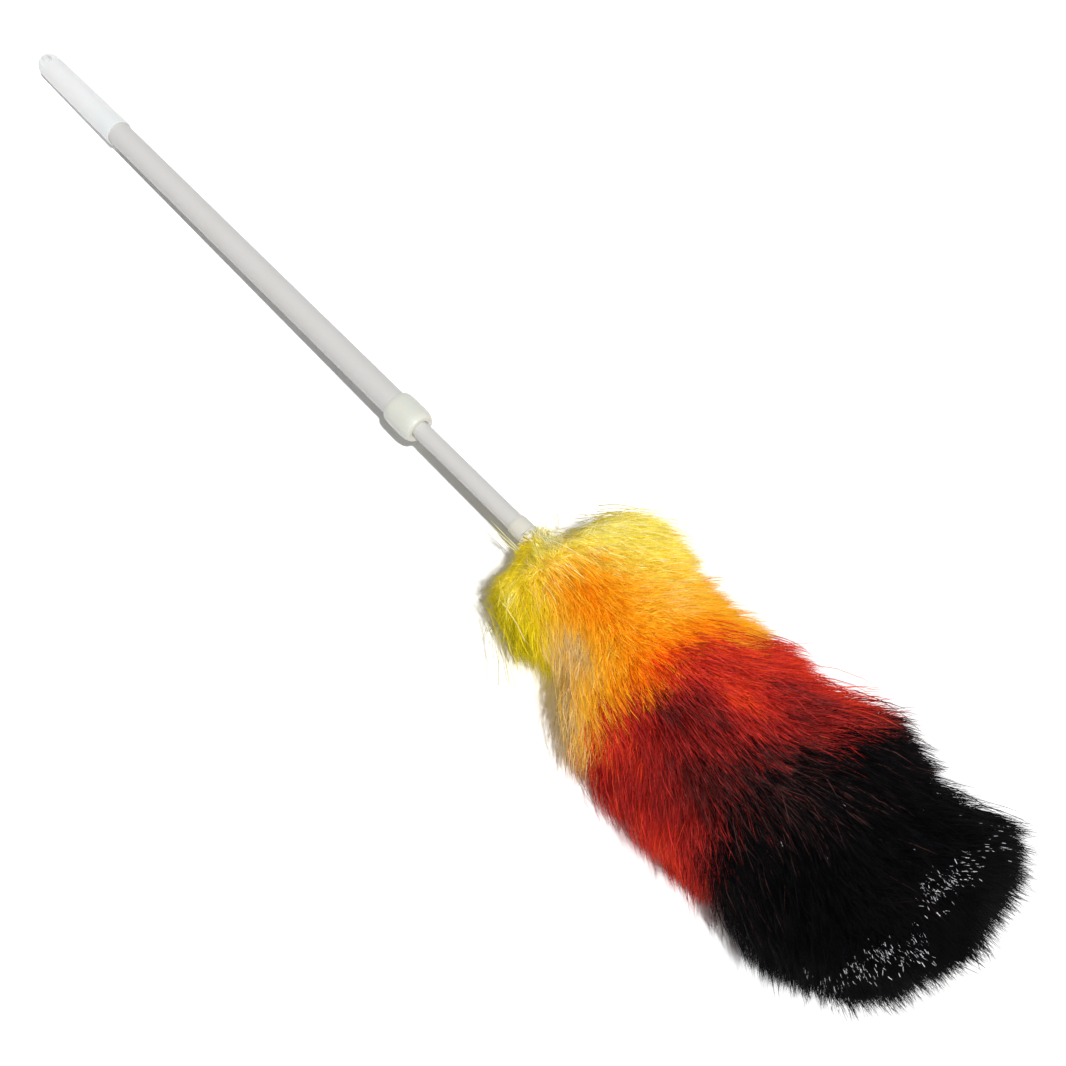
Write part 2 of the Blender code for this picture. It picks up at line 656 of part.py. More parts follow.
def between(stations, at):
    """Value at a place, on straight lines from one station to the next."""
    for (low, value), (high, following) in zip(stations, stations[1:]):
        if at <= high:
            return value + (following - value) * max(at - low, 0.0) / (high - low)
    return stations[-1][1]


def toward(angle, middle_deg):
    """Runs from 1 on the side at the middle angle to -1 on the one across from it."""
    return math.cos(angle - math.radians(middle_deg))


def head_radius(along, angle):
    """Radius of the pile's surface: a quick flare, a waist, a belly on one side, a blunt tip."""
    share = min(max(1 - (HEAD_LENGTH - along) / PILE_TIP_ROUND, 0.0), 1.0)
    radius = between(PILE_OUTLINE, along) * (1 - share**PILE_TIP_BLUNTNESS) ** (1 / PILE_TIP_BLUNTNESS)
    return radius * (1 + between(PILE_SWELL, along) * toward(angle, PILE_HEAVY_SIDE_DEG))


def lean(along, angle, soft):
    """How far the pile leans back at a depth of soft pile, on the flare and on the tip."""
    share = min(soft / PILE_LEAN_DEPTH, 1.0) * toward(angle, PILE_HEAVY_SIDE_DEG)
    return between(PILE_LEAN, along) * share


def lock_wave(tier, angle):
    """Runs from -1 to 1 round the head, once for each lock of the tier."""
    return math.cos(PILE_LOCKS * angle + 2.1 * tier)


def tier_edge(tier, angle):
    """(along, radius) where the tier's surface starts, just under the lip of the tier before."""
    slant = PILE_SLANTS[tier] * toward(angle, PILE_SLANT_TOWARD_DEG)
    along = TIER_ENDS[tier - 1] + slant + PILE_SCALLOP * lock_wave(tier, angle)
    radius = head_radius(along, angle) - PILE_TIER_STEP / 2 + PILE_LOCK_DEPTH * lock_wave(tier, angle)
    return along, radius


def seam(tier, angle, shift):
    """Cone between a tier and the one before, from the rod outward, moved along by a shift."""
    root = TIER_ROOTS[tier] + shift
    along, radius = tier_edge(tier, angle)
    shares = (0.0, 1 / 3, 2 / 3, 1.0)
    run = along + shift - root
    return [(root + run * share, PILE_BORE + (radius - PILE_BORE) * share) for share in shares]


def tier_outline(tier, angle):
    """Closed outline of one tier of pile at an angle round the head."""
    last = len(TIER_NAMES) - 1
    if tier == 0:
        step_at = FERRULE_IN_PILE + SEAT_GAP
        rear = [(step_at, PILE_BORE), (step_at, PILE_REAR_BORE), (0.0, PILE_REAR_BORE)]
        start = (0.0, PILE_START_RADIUS)
        rear.append(start)
    else:
        rear = seam(tier, angle, PILE_TIER_GAP / 2)
        start = rear[-1]
    if tier == last:
        floor = CAP_END_AT + SEAT_GAP - PILE_AT
        rear = [(floor, 0.0), (floor, PILE_BORE)] + rear
        count, front = 10, []
        end_along = HEAD_LENGTH
    else:
        front = seam(tier + 1, angle, -PILE_TIER_GAP / 2)
        reach = front[-1][1] - PILE_BORE
        stretch = (reach + PILE_TIER_STEP) / reach
        root_along, run = front[0][0], front[-1][0] - front[0][0]
        lip = (root_along + run * stretch, PILE_BORE + reach * stretch)
        front = [lip] + front[::-1]
        count, end_along = (12 if tier == 0 else 5), lip[0]
    surface = []
    for step in range(1, count):
        share = math.sin(math.pi / 2 * step / count) if tier == last else step / count
        along = start[0] + (end_along - start[0]) * share
        offset_start = start[1] - head_radius(start[0], angle)
        offset_end = 0.0 if tier == last else front[0][1] - head_radius(end_along, angle)
        offset = offset_start + (offset_end - offset_start) * share
        surface.append((along, head_radius(along, angle) + offset))
    if tier == last:
        surface.append((HEAD_LENGTH, 0.0))
    return rear + surface + front


def pile_mesh(name, tier):
    """Lofts the outlines of one tier round the axis, a little lower than it is wide."""
    bm = bmesh.new()
    columns = []
    for index in range(PILE_SIDES):
        angle = math.tau * index / PILE_SIDES
        column = []
        for along, radius in tier_outline(tier, angle):
            soft = max(radius - PILE_REAR_BORE, 0.0)
            height = radius - soft * (1 - PILE_HEIGHT_RATIO)
            at = along - lean(along, angle, soft)
            place = (at, radius * math.cos(angle), height * math.sin(angle))
            column.append(bm.verts.new(place))
        columns.append(column)
    closed = tier < len(TIER_NAMES) - 1
    for column, following in zip(columns, columns[1:] + columns[:1]):
        pairs = list(zip(range(len(column)), range(1, len(column))))
        if closed:
            pairs.append((len(column) - 1, 0))
        for low, high in pairs:
            bm.faces.new((column[low], column[high], following[high], following[low]))
    bmesh.ops.remove_doubles(bm, verts=bm.verts, dist=1e-6)
    return mesh_from(bm, name)


def build_pile(parent, table):
    """Five tiers of pile, each with its lip over the next, cut flat where they lie."""
    reach = HEAD_LENGTH + FLOOR_MARGIN
    low = (-reach * 3, -reach, -reach)
    high = (reach * 3, reach, 0.0)
    under_table = add_object("table_cutter", box_mesh("table_cutter", low, high), table, 0.0)
    for tier, name in enumerate(TIER_NAMES):
        colour = "black_pile" if name == "tip_pile" else name
        cut(add_object(name, pile_mesh(name, tier), parent, PILE_AT, colour), under_table)


def centre_on_origin(axis):
    """Moves the whole duster so that its box stands centred on the world's origin."""
    bpy.context.view_layer.update()
    graph = bpy.context.evaluated_depsgraph_get()
    corners = []
    for obj in bpy.data.objects:
        if obj.type == "MESH" and not obj.hide_render:
            shown = obj.evaluated_get(graph)
            corners += [shown.matrix_world @ vert.co for vert in shown.data.vertices]
    for item in (0, 1):
        places = [corner[item] for corner in corners]
        axis.location[item] -= (min(places) + max(places)) / 2


def main():
    """Builds the duster at rest, as it lies on a table."""
    clear_scene()
    slope = math.radians(SLOPE_DEG)
    table = add_empty("table")
    axis = add_empty("pole_axis")
    axis.rotation_euler.y = -slope
    axis.location.z = lowest_axis_height(slope)
    collar_slide = add_empty("collar_slide", axis)
    collar_turn = add_empty("collar_turn", collar_slide)
    tube_slide = add_empty("tube_slide", axis)
    tube_turn = add_empty("tube_turn", tube_slide)
    build_hand_grip(axis)
    build_outer_tube(axis)
    build_collet_sleeve(axis)
    build_pressure_ring(collar_slide)
    build_lock_collar(collar_turn)
    build_guide_bush(tube_slide)
    build_end_plug(tube_turn)
    build_inner_tube(tube_turn)
    build_head_ferrule(tube_turn)
    build_core_rod(tube_turn)
    build_backing_strips(tube_turn)
    build_tip_cap(tube_turn)
    build_pile(tube_turn, table)
    centre_on_origin(axis)


main()
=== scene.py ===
"""Looks of the extendable duster: frosted grip, grey tubes, lock collar and a head of soft pile.

Lengths are in metres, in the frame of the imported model. The head is built from filaments, each
a thin closed taper that leaves the pile and bends over toward the tip of the duster.
"""

import json
import logging
import math
from dataclasses import dataclass
from enum import Enum

import bpy
import numpy as np
from mathutils import Matrix, Vector


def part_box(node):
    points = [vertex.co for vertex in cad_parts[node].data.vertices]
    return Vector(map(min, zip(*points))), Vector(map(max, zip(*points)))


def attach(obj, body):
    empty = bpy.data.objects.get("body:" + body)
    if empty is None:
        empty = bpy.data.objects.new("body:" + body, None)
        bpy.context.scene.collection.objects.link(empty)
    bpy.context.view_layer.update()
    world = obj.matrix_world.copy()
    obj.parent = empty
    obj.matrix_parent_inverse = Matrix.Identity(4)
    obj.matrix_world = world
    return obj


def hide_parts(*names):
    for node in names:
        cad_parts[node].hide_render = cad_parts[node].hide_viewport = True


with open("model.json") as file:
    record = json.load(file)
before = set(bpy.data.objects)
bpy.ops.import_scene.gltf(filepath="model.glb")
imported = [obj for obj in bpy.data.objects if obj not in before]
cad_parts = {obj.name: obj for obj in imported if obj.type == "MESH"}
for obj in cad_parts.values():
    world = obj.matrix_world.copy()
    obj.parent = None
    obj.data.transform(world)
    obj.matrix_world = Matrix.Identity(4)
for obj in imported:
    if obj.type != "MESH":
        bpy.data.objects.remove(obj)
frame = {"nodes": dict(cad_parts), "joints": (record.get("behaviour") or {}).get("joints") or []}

LOG = logging.getLogger("duster")
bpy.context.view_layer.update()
UV_NAME = "OFBake"
TINY = 1e-9

# Tufts pick their random numbers from tables of this size, by a number that is made from their
# row and column with two primes.
TABLE_SIZE = 4096
ROW_STEP, COLUMN_STEP = 7919, 104729

Colour = tuple[float, float, float]
Curve = tuple[tuple[float, float], ...]


class Side(Enum):
    """Sides of the head as the photograph shows them, in degrees round the pole from +Y."""

    RIGHT = 20.0
    MIDDLE = 112.0
    LEFT = 200.0


@dataclass(frozen=True)
class PoleLine:
    """The axis of the pole: its closed end, its direction and the two directions across it."""

    start: Vector
    along: Vector
    side: Vector
    up: Vector

    @classmethod
    def from_record(cls) -> "PoleLine":
        """Reads the axis from the joint of the lock collar.

        Returns:
            The line, which starts at the closed end of the grip.
        """
        joint = next(item for item in frame["joints"] if item["name"] == "collar_turn")
        along = Vector(joint["axis"]).normalized()
        point = Vector(joint["pos_m"])
        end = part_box("hand_grip")[0].x
        start = point - along * ((point.x - end) / along.x)
        side = Vector((0.0, 1.0, 0.0))
        return cls(start, along, side, along.cross(side))

    def at(self, distance: float) -> Vector:
        """Returns the point of the axis at a distance from the closed end."""
        return self.start + self.along * distance

    def directions(self) -> tuple[np.ndarray, np.ndarray, np.ndarray]:
        """Returns the direction to the side, the one upward and the one along the pole."""
        return np.array(self.side), np.array(self.up), np.array(self.along)

    def distance_of(self, node: str, end: int) -> float:
        """Finds where a turned CAD node starts or ends along the axis.

        Args:
            node: Name of the CAD node.
            end: 0 for the end toward the grip, 1 for the one toward the tip.

        Returns:
            The distance from the closed end.
        """
        mesh = frame["nodes"][node].data
        points = np.empty(len(mesh.vertices) * 3, np.float32)
        mesh.vertices.foreach_get("co", points)
        reach = (points.reshape(-1, 3) - np.array(self.start)) @ np.array(self.along)
        return float(reach.max() if end else reach.min())


def math_node(
    tree: bpy.types.NodeTree, operation: str, *given: bpy.types.NodeSocket | float
) -> bpy.types.NodeSocket:
    """Adds a math node.

    Args:
        tree: Where it goes.
        operation: What it works out.
        given: A socket or a constant for each of its inputs.

    Returns:
        Its output.
    """
    node = tree.nodes.new("ShaderNodeMath")
    node.operation = operation
    for place, value in zip(node.inputs, given):
        if isinstance(value, bpy.types.NodeSocket):
            tree.links.new(value, place)
        else:
            place.default_value = value
    return node.outputs[0]


def ramp_node(
    tree: bpy.types.NodeTree, source: bpy.types.NodeSocket, stops: tuple[tuple[float, Colour], ...]
) -> bpy.types.NodeSocket:
    """Adds a colour ramp.

    Args:
        tree: Where it goes.
        source: What it reads.
        stops: Its positions and their colours.

    Returns:
        The colour that it gives.
    """
    node = tree.nodes.new("ShaderNodeValToRGB")
    elements = node.color_ramp.elements
    while len(elements) < len(stops):
        elements.new(0.5)
    for element, (position, colour) in zip(elements, stops):
        element.position = position
        element.color = (*colour, 1.0)
    tree.links.new(source, node.inputs["Fac"])
    return node.outputs["Color"]


@dataclass(frozen=True)
class PlasticFinish:
    """A moulded or extruded plastic with a faint mottle in its colour, gloss and surface."""

    name: str
    colour: Colour
    roughness: float
    mottle: float = 0.04
    grain: tuple[float, float, float] = (220.0, 900.0, 900.0)
    bump: float = 0.05
    coat: float = 0.0
    transmission: float = 0.0
    subsurface: float = 0.0
    # Emission strength in the part's own colour: a painted glow that brightens it, though it is no lamp.
    painted_glow: float = 0.0
    tint: Colour = (0.92, 0.90, 0.86)
    ior: float = 1.47
    scatter_depth: float = 0.004
    bump_depth: float = 0.0005

    def material(self) -> bpy.types.Material:
        """Builds the material, whose fine grain is drawn out along X.

        Returns:
            The new material.
        """
        made = bpy.data.materials.new(self.name)
        made.use_nodes = True
        nodes, links = made.node_tree.nodes, made.node_tree.links
        shader = nodes["Principled BSDF"]
        shader.inputs["Coat Weight"].default_value = self.coat
        shader.inputs["Transmission Weight"].default_value = self.transmission
        shader.inputs["Subsurface Weight"].default_value = self.subsurface
        shader.inputs["Subsurface Scale"].default_value = self.scatter_depth
        shader.inputs["Emission Strength"].default_value = self.painted_glow
        shader.inputs["IOR"].default_value = self.ior
        grain = nodes.new("ShaderNodeGroup")
        grain.node_tree = moulded_grain()
        grain.inputs["Colour"].default_value = (*self.colour, 1.0)
        grain.inputs["Tint"].default_value = (*(a * b for a, b in zip(self.colour, self.tint)), 1.0)
        grain.inputs["Mottle"].default_value = self.mottle
        grain.inputs["Roughness"].default_value = self.roughness
        grain.inputs["Grain"].default_value = self.grain
        bump = nodes.new("ShaderNodeBump")
        bump.inputs["Strength"].default_value = self.bump
        bump.inputs["Distance"].default_value = self.bump_depth
        links.new(grain.outputs["Colour"], shader.inputs["Base Color"])
        # Painted glow: the colour also shines as emission, at the finish's glow strength.
        links.new(grain.outputs["Colour"], shader.inputs["Emission Color"])
        links.new(grain.outputs["Roughness"], shader.inputs["Roughness"])
        links.new(grain.outputs["Height"], bump.inputs["Height"])
        links.new(bump.outputs["Normal"], shader.inputs["Normal"])
        return made


def moulded_grain() -> bpy.types.NodeTree:
    """Builds, once, the group that gives plastic its mottled colour, gloss and fine height.

    Returns:
        The node group "moulded grain".
    """
    found = bpy.data.node_groups.get("moulded grain")
    if found:
        return found
    group = bpy.data.node_groups.new("moulded grain", "ShaderNodeTree")
    face = group.interface
    for name, kind in (
        ("Colour", "NodeSocketColor"),
        ("Tint", "NodeSocketColor"),
        ("Mottle", "NodeSocketFloat"),
        ("Roughness", "NodeSocketFloat"),
        ("Grain", "NodeSocketVector"),
    ):
        face.new_socket(name, in_out="INPUT", socket_type=kind)
    for name, kind in (
        ("Colour", "NodeSocketColor"),
        ("Roughness", "NodeSocketFloat"),
        ("Height", "NodeSocketFloat"),
    ):
        face.new_socket(name, in_out="OUTPUT", socket_type=kind)
    nodes, links = group.nodes, group.links
    given = nodes.new("NodeGroupInput")
    result = nodes.new("NodeGroupOutput")
    place = nodes.new("ShaderNodeTexCoord")
    stretch = nodes.new("ShaderNodeVectorMath")
    stretch.operation = "MULTIPLY"
    links.new(place.outputs["Object"], stretch.inputs[0])
    links.new(given.outputs["Grain"], stretch.inputs[1])
    fine = nodes.new("ShaderNodeTexNoise")
    fine.inputs["Scale"].default_value = 1.0
    fine.inputs["Detail"].default_value = 4.0
    links.new(stretch.outputs[0], fine.inputs["Vector"])
    cloud = nodes.new("ShaderNodeTexNoise")
    cloud.inputs["Scale"].default_value = 28.0
    cloud.inputs["Detail"].default_value = 3.0
    links.new(place.outputs["Object"], cloud.inputs["Vector"])
    both = math_node(group, "ADD", fine.outputs["Fac"], cloud.outputs["Fac"])
    part = math_node(group, "MULTIPLY", both, 0.5)
    mix = nodes.new("ShaderNodeMix")
    mix.data_type = "RGBA"
    links.new(part, mix.inputs["Factor"])
    links.new(given.outputs["Tint"], mix.inputs["A"])
    links.new(given.outputs["Colour"], mix.inputs["B"])
    swing = math_node(group, "SUBTRACT", part, 0.5)
    rough = math_node(group, "MULTIPLY_ADD", swing, given.outputs["Mottle"], given.outputs["Roughness"])
    links.new(mix.outputs["Result"], result.inputs["Colour"])
    links.new(rough, result.inputs["Roughness"])
    links.new(fine.outputs["Fac"], result.inputs["Height"])
    return group


@dataclass(frozen=True)
class PileFinish:
    """Colours of one band of pile: tones across its filaments, and the painted shade that darkens them
    toward their roots, inside the pile and where a filament is drawn as lying in shade.
    """

    name: str
    tones: tuple[tuple[float, Colour], ...]
    # Painted shade: the colour falls to root_shade at the filaments' roots and to inner_shade on the
    # under-body, at the places in shade_at.
    root_shade: float = 0.60
    inner_shade: float = 0.52
    shade_at: tuple[float, float, float] = (0.04, 0.14, 0.76)
    roughness: float = 0.50
    root_roughness: float = 0.25
    specular: float = 0.12
    # Emission strength in the filaments' own colour: a painted glow that lifts them as if light passed
    # through them, though they are no lamp.
    painted_glow: float = 0.0

    def material(self) -> bpy.types.Material:
        """Builds the material, which reads a filament's tone, and its reach with its painted shade, from
        the bake map.

        Returns:
            The new material.
        """
        made = bpy.data.materials.new(self.name)
        made.use_nodes = True
        nodes, links = made.node_tree.nodes, made.node_tree.links
        shader = nodes["Principled BSDF"]
        shader.inputs["Specular IOR Level"].default_value = self.specular
        shader.inputs["Emission Strength"].default_value = self.painted_glow
        place = nodes.new("ShaderNodeUVMap")
        place.uv_map = UV_NAME
        split = nodes.new("ShaderNodeSeparateXYZ")
        links.new(place.outputs["UV"], split.inputs[0])
        tone = ramp_node(made.node_tree, split.outputs["X"], self.tones)
        # Painted shade: a ramp on the map's second coordinate darkens the colour toward the roots, on the
        # under-body and on filaments drawn as lying in shade.
        levels = ((level,) * 3 for level in (self.inner_shade, self.root_shade, 1.0))
        shade = ramp_node(made.node_tree, split.outputs["Y"], tuple(zip(self.shade_at, levels)))
        mix = nodes.new("ShaderNodeMix")
        mix.data_type = "RGBA"
        mix.blend_type = "MULTIPLY"
        mix.inputs["Factor"].default_value = 1.0
        links.new(tone, mix.inputs["A"])
        links.new(shade, mix.inputs["B"])
        links.new(mix.outputs["Result"], shader.inputs["Base Color"])
        # Painted glow: the shaded colour also shines as emission.
        links.new(mix.outputs["Result"], shader.inputs["Emission Color"])
        gloss = nodes.new("ShaderNodeMapRange")
        gloss.inputs["To Min"].default_value = self.roughness + self.root_roughness
        gloss.inputs["To Max"].default_value = self.roughness
        links.new(split.outputs["Y"], gloss.inputs["Value"])
        links.new(gloss.outputs["Result"], shader.inputs["Roughness"])
        return made


# The glow of each pile finish below is painted light; for the black one it mainly brightens the painted
# glints.
YELLOW = PileFinish(
    "yellow pile",
    (
        (0.00, (0.16, 0.14, 0.003)),
        (0.20, (0.40, 0.35, 0.006)),
        (0.40, (0.80, 0.64, 0.010)),
        (0.60, (0.92, 0.69, 0.013)),
        (0.80, (0.92, 0.80, 0.12)),
        (1.00, (0.94, 0.88, 0.50)),
    ),
    roughness=0.38,
    specular=0.16,
    painted_glow=0.31,
)
ORANGE = PileFinish(
    "orange pile",
    (
        (0.00, (0.44, 0.30, 0.10)),
        (0.16, (0.86, 0.62, 0.32)),
        (0.36, (0.96, 0.60, 0.045)),
        (0.58, (0.96, 0.41, 0.003)),
        (0.80, (0.96, 0.24, 0.002)),
        (1.00, (0.92, 0.06, 0.004)),
    ),
    roughness=0.38,
    specular=0.14,
    painted_glow=0.27,
)
RED = PileFinish(
    "red pile",
    (
        (0.00, (0.012, 0.004, 0.004)),
        (0.35, (0.125, 0.013, 0.011)),
        (0.65, (0.50, 0.019, 0.016)),
        (0.85, (0.82, 0.038, 0.022)),
        (1.00, (0.98, 0.085, 0.014)),
    ),
    root_shade=0.49,
    inner_shade=0.28,
    roughness=0.42,
    specular=0.22,
    painted_glow=0.11,
)
# The top stops, from 0.88, are the grey and white of the painted glints, which only the dashes reach.
BLACK = PileFinish(
    "black pile",
    (
        (0.00, (0.0006, 0.0007, 0.0009)),
        (0.50, (0.0014, 0.0014, 0.0018)),
        (0.70, (0.010, 0.005, 0.005)),
        (0.80, (0.055, 0.022, 0.020)),
        (0.88, (0.08, 0.08, 0.11)),
        (1.00, (0.95, 0.96, 1.00)),
    ),
    specular=0.05,
    painted_glow=0.9,
)


def smooth(value: np.ndarray, low: float, high: float) -> np.ndarray:
    """Runs smoothly from 0 below low to 1 above high.

    Args:
        value: What is measured.
        low: Where the rise starts.
        high: Where it ends.

    Returns:
        The share, from 0 to 1.
    """
    share = np.clip((value - low) / (high - low), 0.0, 1.0)
    return share * share * (3.0 - 2.0 * share)


def turned(angle: np.ndarray, middle_deg: float) -> np.ndarray:
    """Gives how far angles lie from a middle one.

    Args:
        angle: Angles round the pole.
        middle_deg: The middle angle, in degrees.

    Returns:
        Differences between half a turn back and half a turn on.
    """
    return (angle - math.radians(middle_deg) + math.pi) % math.tau - math.pi


@dataclass(frozen=True)
class Waves:
    """A smooth wander over the head, from a few seeded waves round it and along it."""

    seed: int
    least_length: float = 0.045
    count: int = 7
    most_turns: int = 6

    def value(self, along: np.ndarray, angle: np.ndarray) -> np.ndarray:
        """Gives the wander at places on the head.

        Args:
            along: Distances from the start of the pile.
            angle: Angles round the pole.

        Returns:
            Values of about -1 to 1.
        """
        draw = np.random.default_rng(self.seed)
        total = np.zeros_like(along)
        for _ in range(self.count):
            turns = draw.integers(0, self.most_turns + 1)
            per_metre = draw.uniform(0.2, 1.0) * math.tau / self.least_length
            per_metre *= draw.choice((-1.0, 1.0))
            total += np.sin(turns * angle + per_metre * along + draw.uniform(0, math.tau))
        return total / math.sqrt(self.count)


@dataclass(frozen=True)
class Patch:
    """A soft-edged patch of the head in which the tone is shifted."""

    along: float
    angle_deg: float
    reach: float
    reach_deg: float
    shift: float

    def value(self, along: np.ndarray, angle: np.ndarray) -> np.ndarray:
        """Gives the shift at places on the head.

        Args:
            along: Distances from the start of the pile.
            angle: Angles round the pole.

        Returns:
            Shifts of the tone.
        """
        round_it = turned(angle, self.angle_deg) / math.radians(self.reach_deg)
        return self.shift * np.exp(-(((along - self.along) / self.reach) ** 2) - round_it**2)


@dataclass(frozen=True)
class Border:
    """Where a band of colour starts: a wandering ring, with one side on which the bands mix."""

    ring: Curve
    blur: float = 0.006
    soft_blur: float = 0.0
    soft_side: Side = Side.MIDDLE
    soft_reach_deg: float = 34.0

    def place(self, angle: np.ndarray) -> np.ndarray:
        """Gives the border's place.

        Args:
            angle: Angles round the pole.

        Returns:
            Distances from the start of the pile.
        """
        degrees, places = zip(*self.ring)
        return np.interp(np.degrees(angle), degrees, places, period=360.0)

    def spread(self, angle: np.ndarray) -> np.ndarray:
        """Returns how far filaments of the two bands mix at angles round the pole."""
        away = turned(angle, self.soft_side.value) / math.radians(self.soft_reach_deg)
        return self.blur + self.soft_blur * np.exp(-(away**2))


@dataclass(frozen=True)
class Tips:
    """Where filaments end: places on the surface of the head, and which way it runs there."""

    along: np.ndarray
    angle: np.ndarray
    radius: np.ndarray
    slope_along: np.ndarray
    slope_out: np.ndarray


@dataclass(frozen=True)
class HeadShape:
    """Outline of the pile: a curve from its start to its tip, leant and swollen to one side."""

    stations: Curve = (
        (0.0090, 0.0110), (0.0160, 0.0145), (0.0295, 0.0270), (0.0355, 0.0400), (0.0395, 0.0490),
        (0.0450, 0.0545), (0.0510, 0.0575), (0.0565, 0.0600), (0.0610, 0.0612),
        (0.0660, 0.0620), (0.0800, 0.0605), (0.0920, 0.0600), (0.1040, 0.0610), (0.1160, 0.0630),
        (0.1300, 0.0670), (0.1500, 0.0705), (0.1700, 0.0725), (0.1950, 0.0735), (0.2160, 0.0740),
        (0.2400, 0.0755), (0.2620, 0.0785), (0.2800, 0.0775), (0.3000, 0.0755), (0.3180, 0.0745),
        (0.3320, 0.0745), (0.3420, 0.0725), (0.3500, 0.0690), (0.3580, 0.0610), (0.3640, 0.0515),
        (0.3690, 0.0380), (0.3725, 0.0200), (0.3735, 0.0),
    )  # fmt: skip
    heavy_side: Side = Side.LEFT
    swell: Curve = (
        (0.040, 0.00), (0.054, 0.00), (0.066, -0.04), (0.080, -0.12), (0.092, -0.13), (0.104, -0.06),
        (0.116, 0.02), (0.130, 0.11), (0.150, 0.165), (0.170, 0.16), (0.195, 0.12), (0.216, 0.18),
        (0.240, 0.11), (0.262, 0.00), (0.280, 0.03), (0.292, 0.07), (0.301, 0.13), (0.318, 0.09),
        (0.327, 0.05), (0.335, -0.04), (0.345, -0.10), (0.360, -0.09),
    )  # fmt: skip
    back_lean: Curve = (
        (0.0100, 0.0), (0.0295, 0.0130), (0.0355, 0.0180), (0.0395, 0.0205), (0.0450, 0.0182),
        (0.0510, 0.0143), (0.0565, 0.0095), (0.0660, 0.0020), (0.0750, 0.0), (0.3000, 0.0),
        (0.3600, 0.0030),
    )  # fmt: skip
    height_ratio: float = 0.94
    flat_from: tuple[float, float] = (0.010, 0.045)
    step: float = 0.0005
    window: int = 21
    least_ring: float = 0.002

    def curve(self) -> tuple[np.ndarray, np.ndarray, np.ndarray]:
        """Rounds the stations into a curve.

        Returns:
            Along and outward places of close points, and the lengths of the curve to them.
        """
        points = np.array(self.stations)
        mirrored = points[:-1][::-1] * (1.0, -1.0)
        points = np.concatenate((points, mirrored))
        run = np.concatenate(((0.0,), np.cumsum(np.hypot(*np.diff(points, axis=0).T))))
        steps = np.arange(0.0, run[-1], self.step)
        line = np.stack([np.interp(steps, run, points[:, axis]) for axis in (0, 1)])
        half_window = self.window // 2
        padded = np.pad(line, ((0, 0), (half_window, half_window)), mode="reflect", reflect_type="odd")
        mean = np.ones(self.window) / self.window
        soft = np.stack([np.convolve(row, mean, "valid") for row in padded])
        half = int(np.argmax(soft[1] < 0.0))
        along, outward = soft[0, :half], np.maximum(soft[1, :half], 0.0)
        lengths = np.concatenate(((0.0,), np.cumsum(np.hypot(np.diff(along), np.diff(outward)))))
        return along, outward, lengths

    def scatter(self, count: int, draw: np.random.Generator) -> tuple[np.ndarray, np.ndarray]:
        """Draws places spread evenly over the surface.

        Args:
            count: How many.
            draw: Source of random numbers.

        Returns:
            Lengths along the curve, and angles round the pole.
        """
        _, outward, lengths = self.curve()
        area = np.cumsum(outward + self.least_ring)
        at = np.interp(draw.uniform(0.0, area[-1], count), area, lengths)
        return at, draw.uniform(0.0, math.tau, count)

    def at(self, run: np.ndarray, angle: np.ndarray) -> Tips:
        """Gives the places and slopes of the surface.

        Args:
            run: Lengths along the curve.
            angle: Angles round the pole.

        Returns:
            The places, with the along and outward parts of the direction toward the tip.
        """
        along, outward, lengths = self.curve()
        place, radius = np.interp(run, lengths, along), np.interp(run, lengths, outward)
        ahead, rise = np.gradient(along, lengths), np.gradient(outward, lengths)
        slope_along, slope_out = np.interp(run, lengths, ahead), np.interp(run, lengths, rise)
        size = np.hypot(slope_along, slope_out)
        place, radius = place - self.lean(place, angle), radius * self.bulge(place, angle)
        return Tips(place, angle, radius, slope_along / size, slope_out / size)

    def lean(self, place: np.ndarray, angle: np.ndarray) -> np.ndarray:
        """Returns how far the pile leans back at places along the curve and angles round it."""
        heavy = np.cos(turned(angle, self.heavy_side.value))
        return np.interp(place, *zip(*self.back_lean)) * heavy

    def bulge(self, place: np.ndarray, angle: np.ndarray) -> np.ndarray:
        """Returns the factor by which the radius grows or shrinks at those places and angles."""
        heavy = np.cos(turned(angle, self.heavy_side.value))
        return 1.0 + np.interp(place, *zip(*self.swell)) * heavy


@dataclass(frozen=True)
class PileBand:
    """One band of the head: its CAD solid, its colours and where they change."""

    name: str
    node: str
    slot: str
    finish: PileFinish
    start: Border
    tone: float
    patches: tuple[Patch, ...] = ()
    wander: float = 0.07
    spread: float = 0.06
    flare: float = 0.0025
    bold_share: float = 0.14
    # Tone shift of the bold filaments: a painted highlight that makes them lighter than the rest.
    bold_highlight_shift: float = 0.0
    tuft_weight: float = 0.7
    own_weight: float = 1.2
    least_tone: float = 0.01
    most_tone: float = 0.99

    def tones(
        self, along: np.ndarray, angle: np.ndarray, tuft: np.ndarray, noise: np.ndarray, bold: np.ndarray
    ) -> np.ndarray:
        """Chooses the tone of filaments from where they are.

        Args:
            along: Distances from the start of the pile.
            angle: Angles round the pole.
            tuft: A number of about -1 to 1 for the tuft that each is in.
            noise: One for the filament itself.
            bold: 1 for a thicker filament, which has its own shift of tone, a painted highlight, 0 for the
                others.

        Returns:
            Tones from 0 to 1, for the colour ramp of the finish.
        """
        tone = self.tone + sum((patch.value(along, angle) for patch in self.patches), np.zeros_like(along))
        tone = tone + self.wander * Waves(len(self.name)).value(along, angle)
        own = self.tuft_weight * tuft + self.own_weight * noise
        # Bold filaments take their painted highlight here.
        tone = tone + self.spread * own + self.bold_highlight_shift * bold
        return np.clip(tone, self.least_tone, self.most_tone)


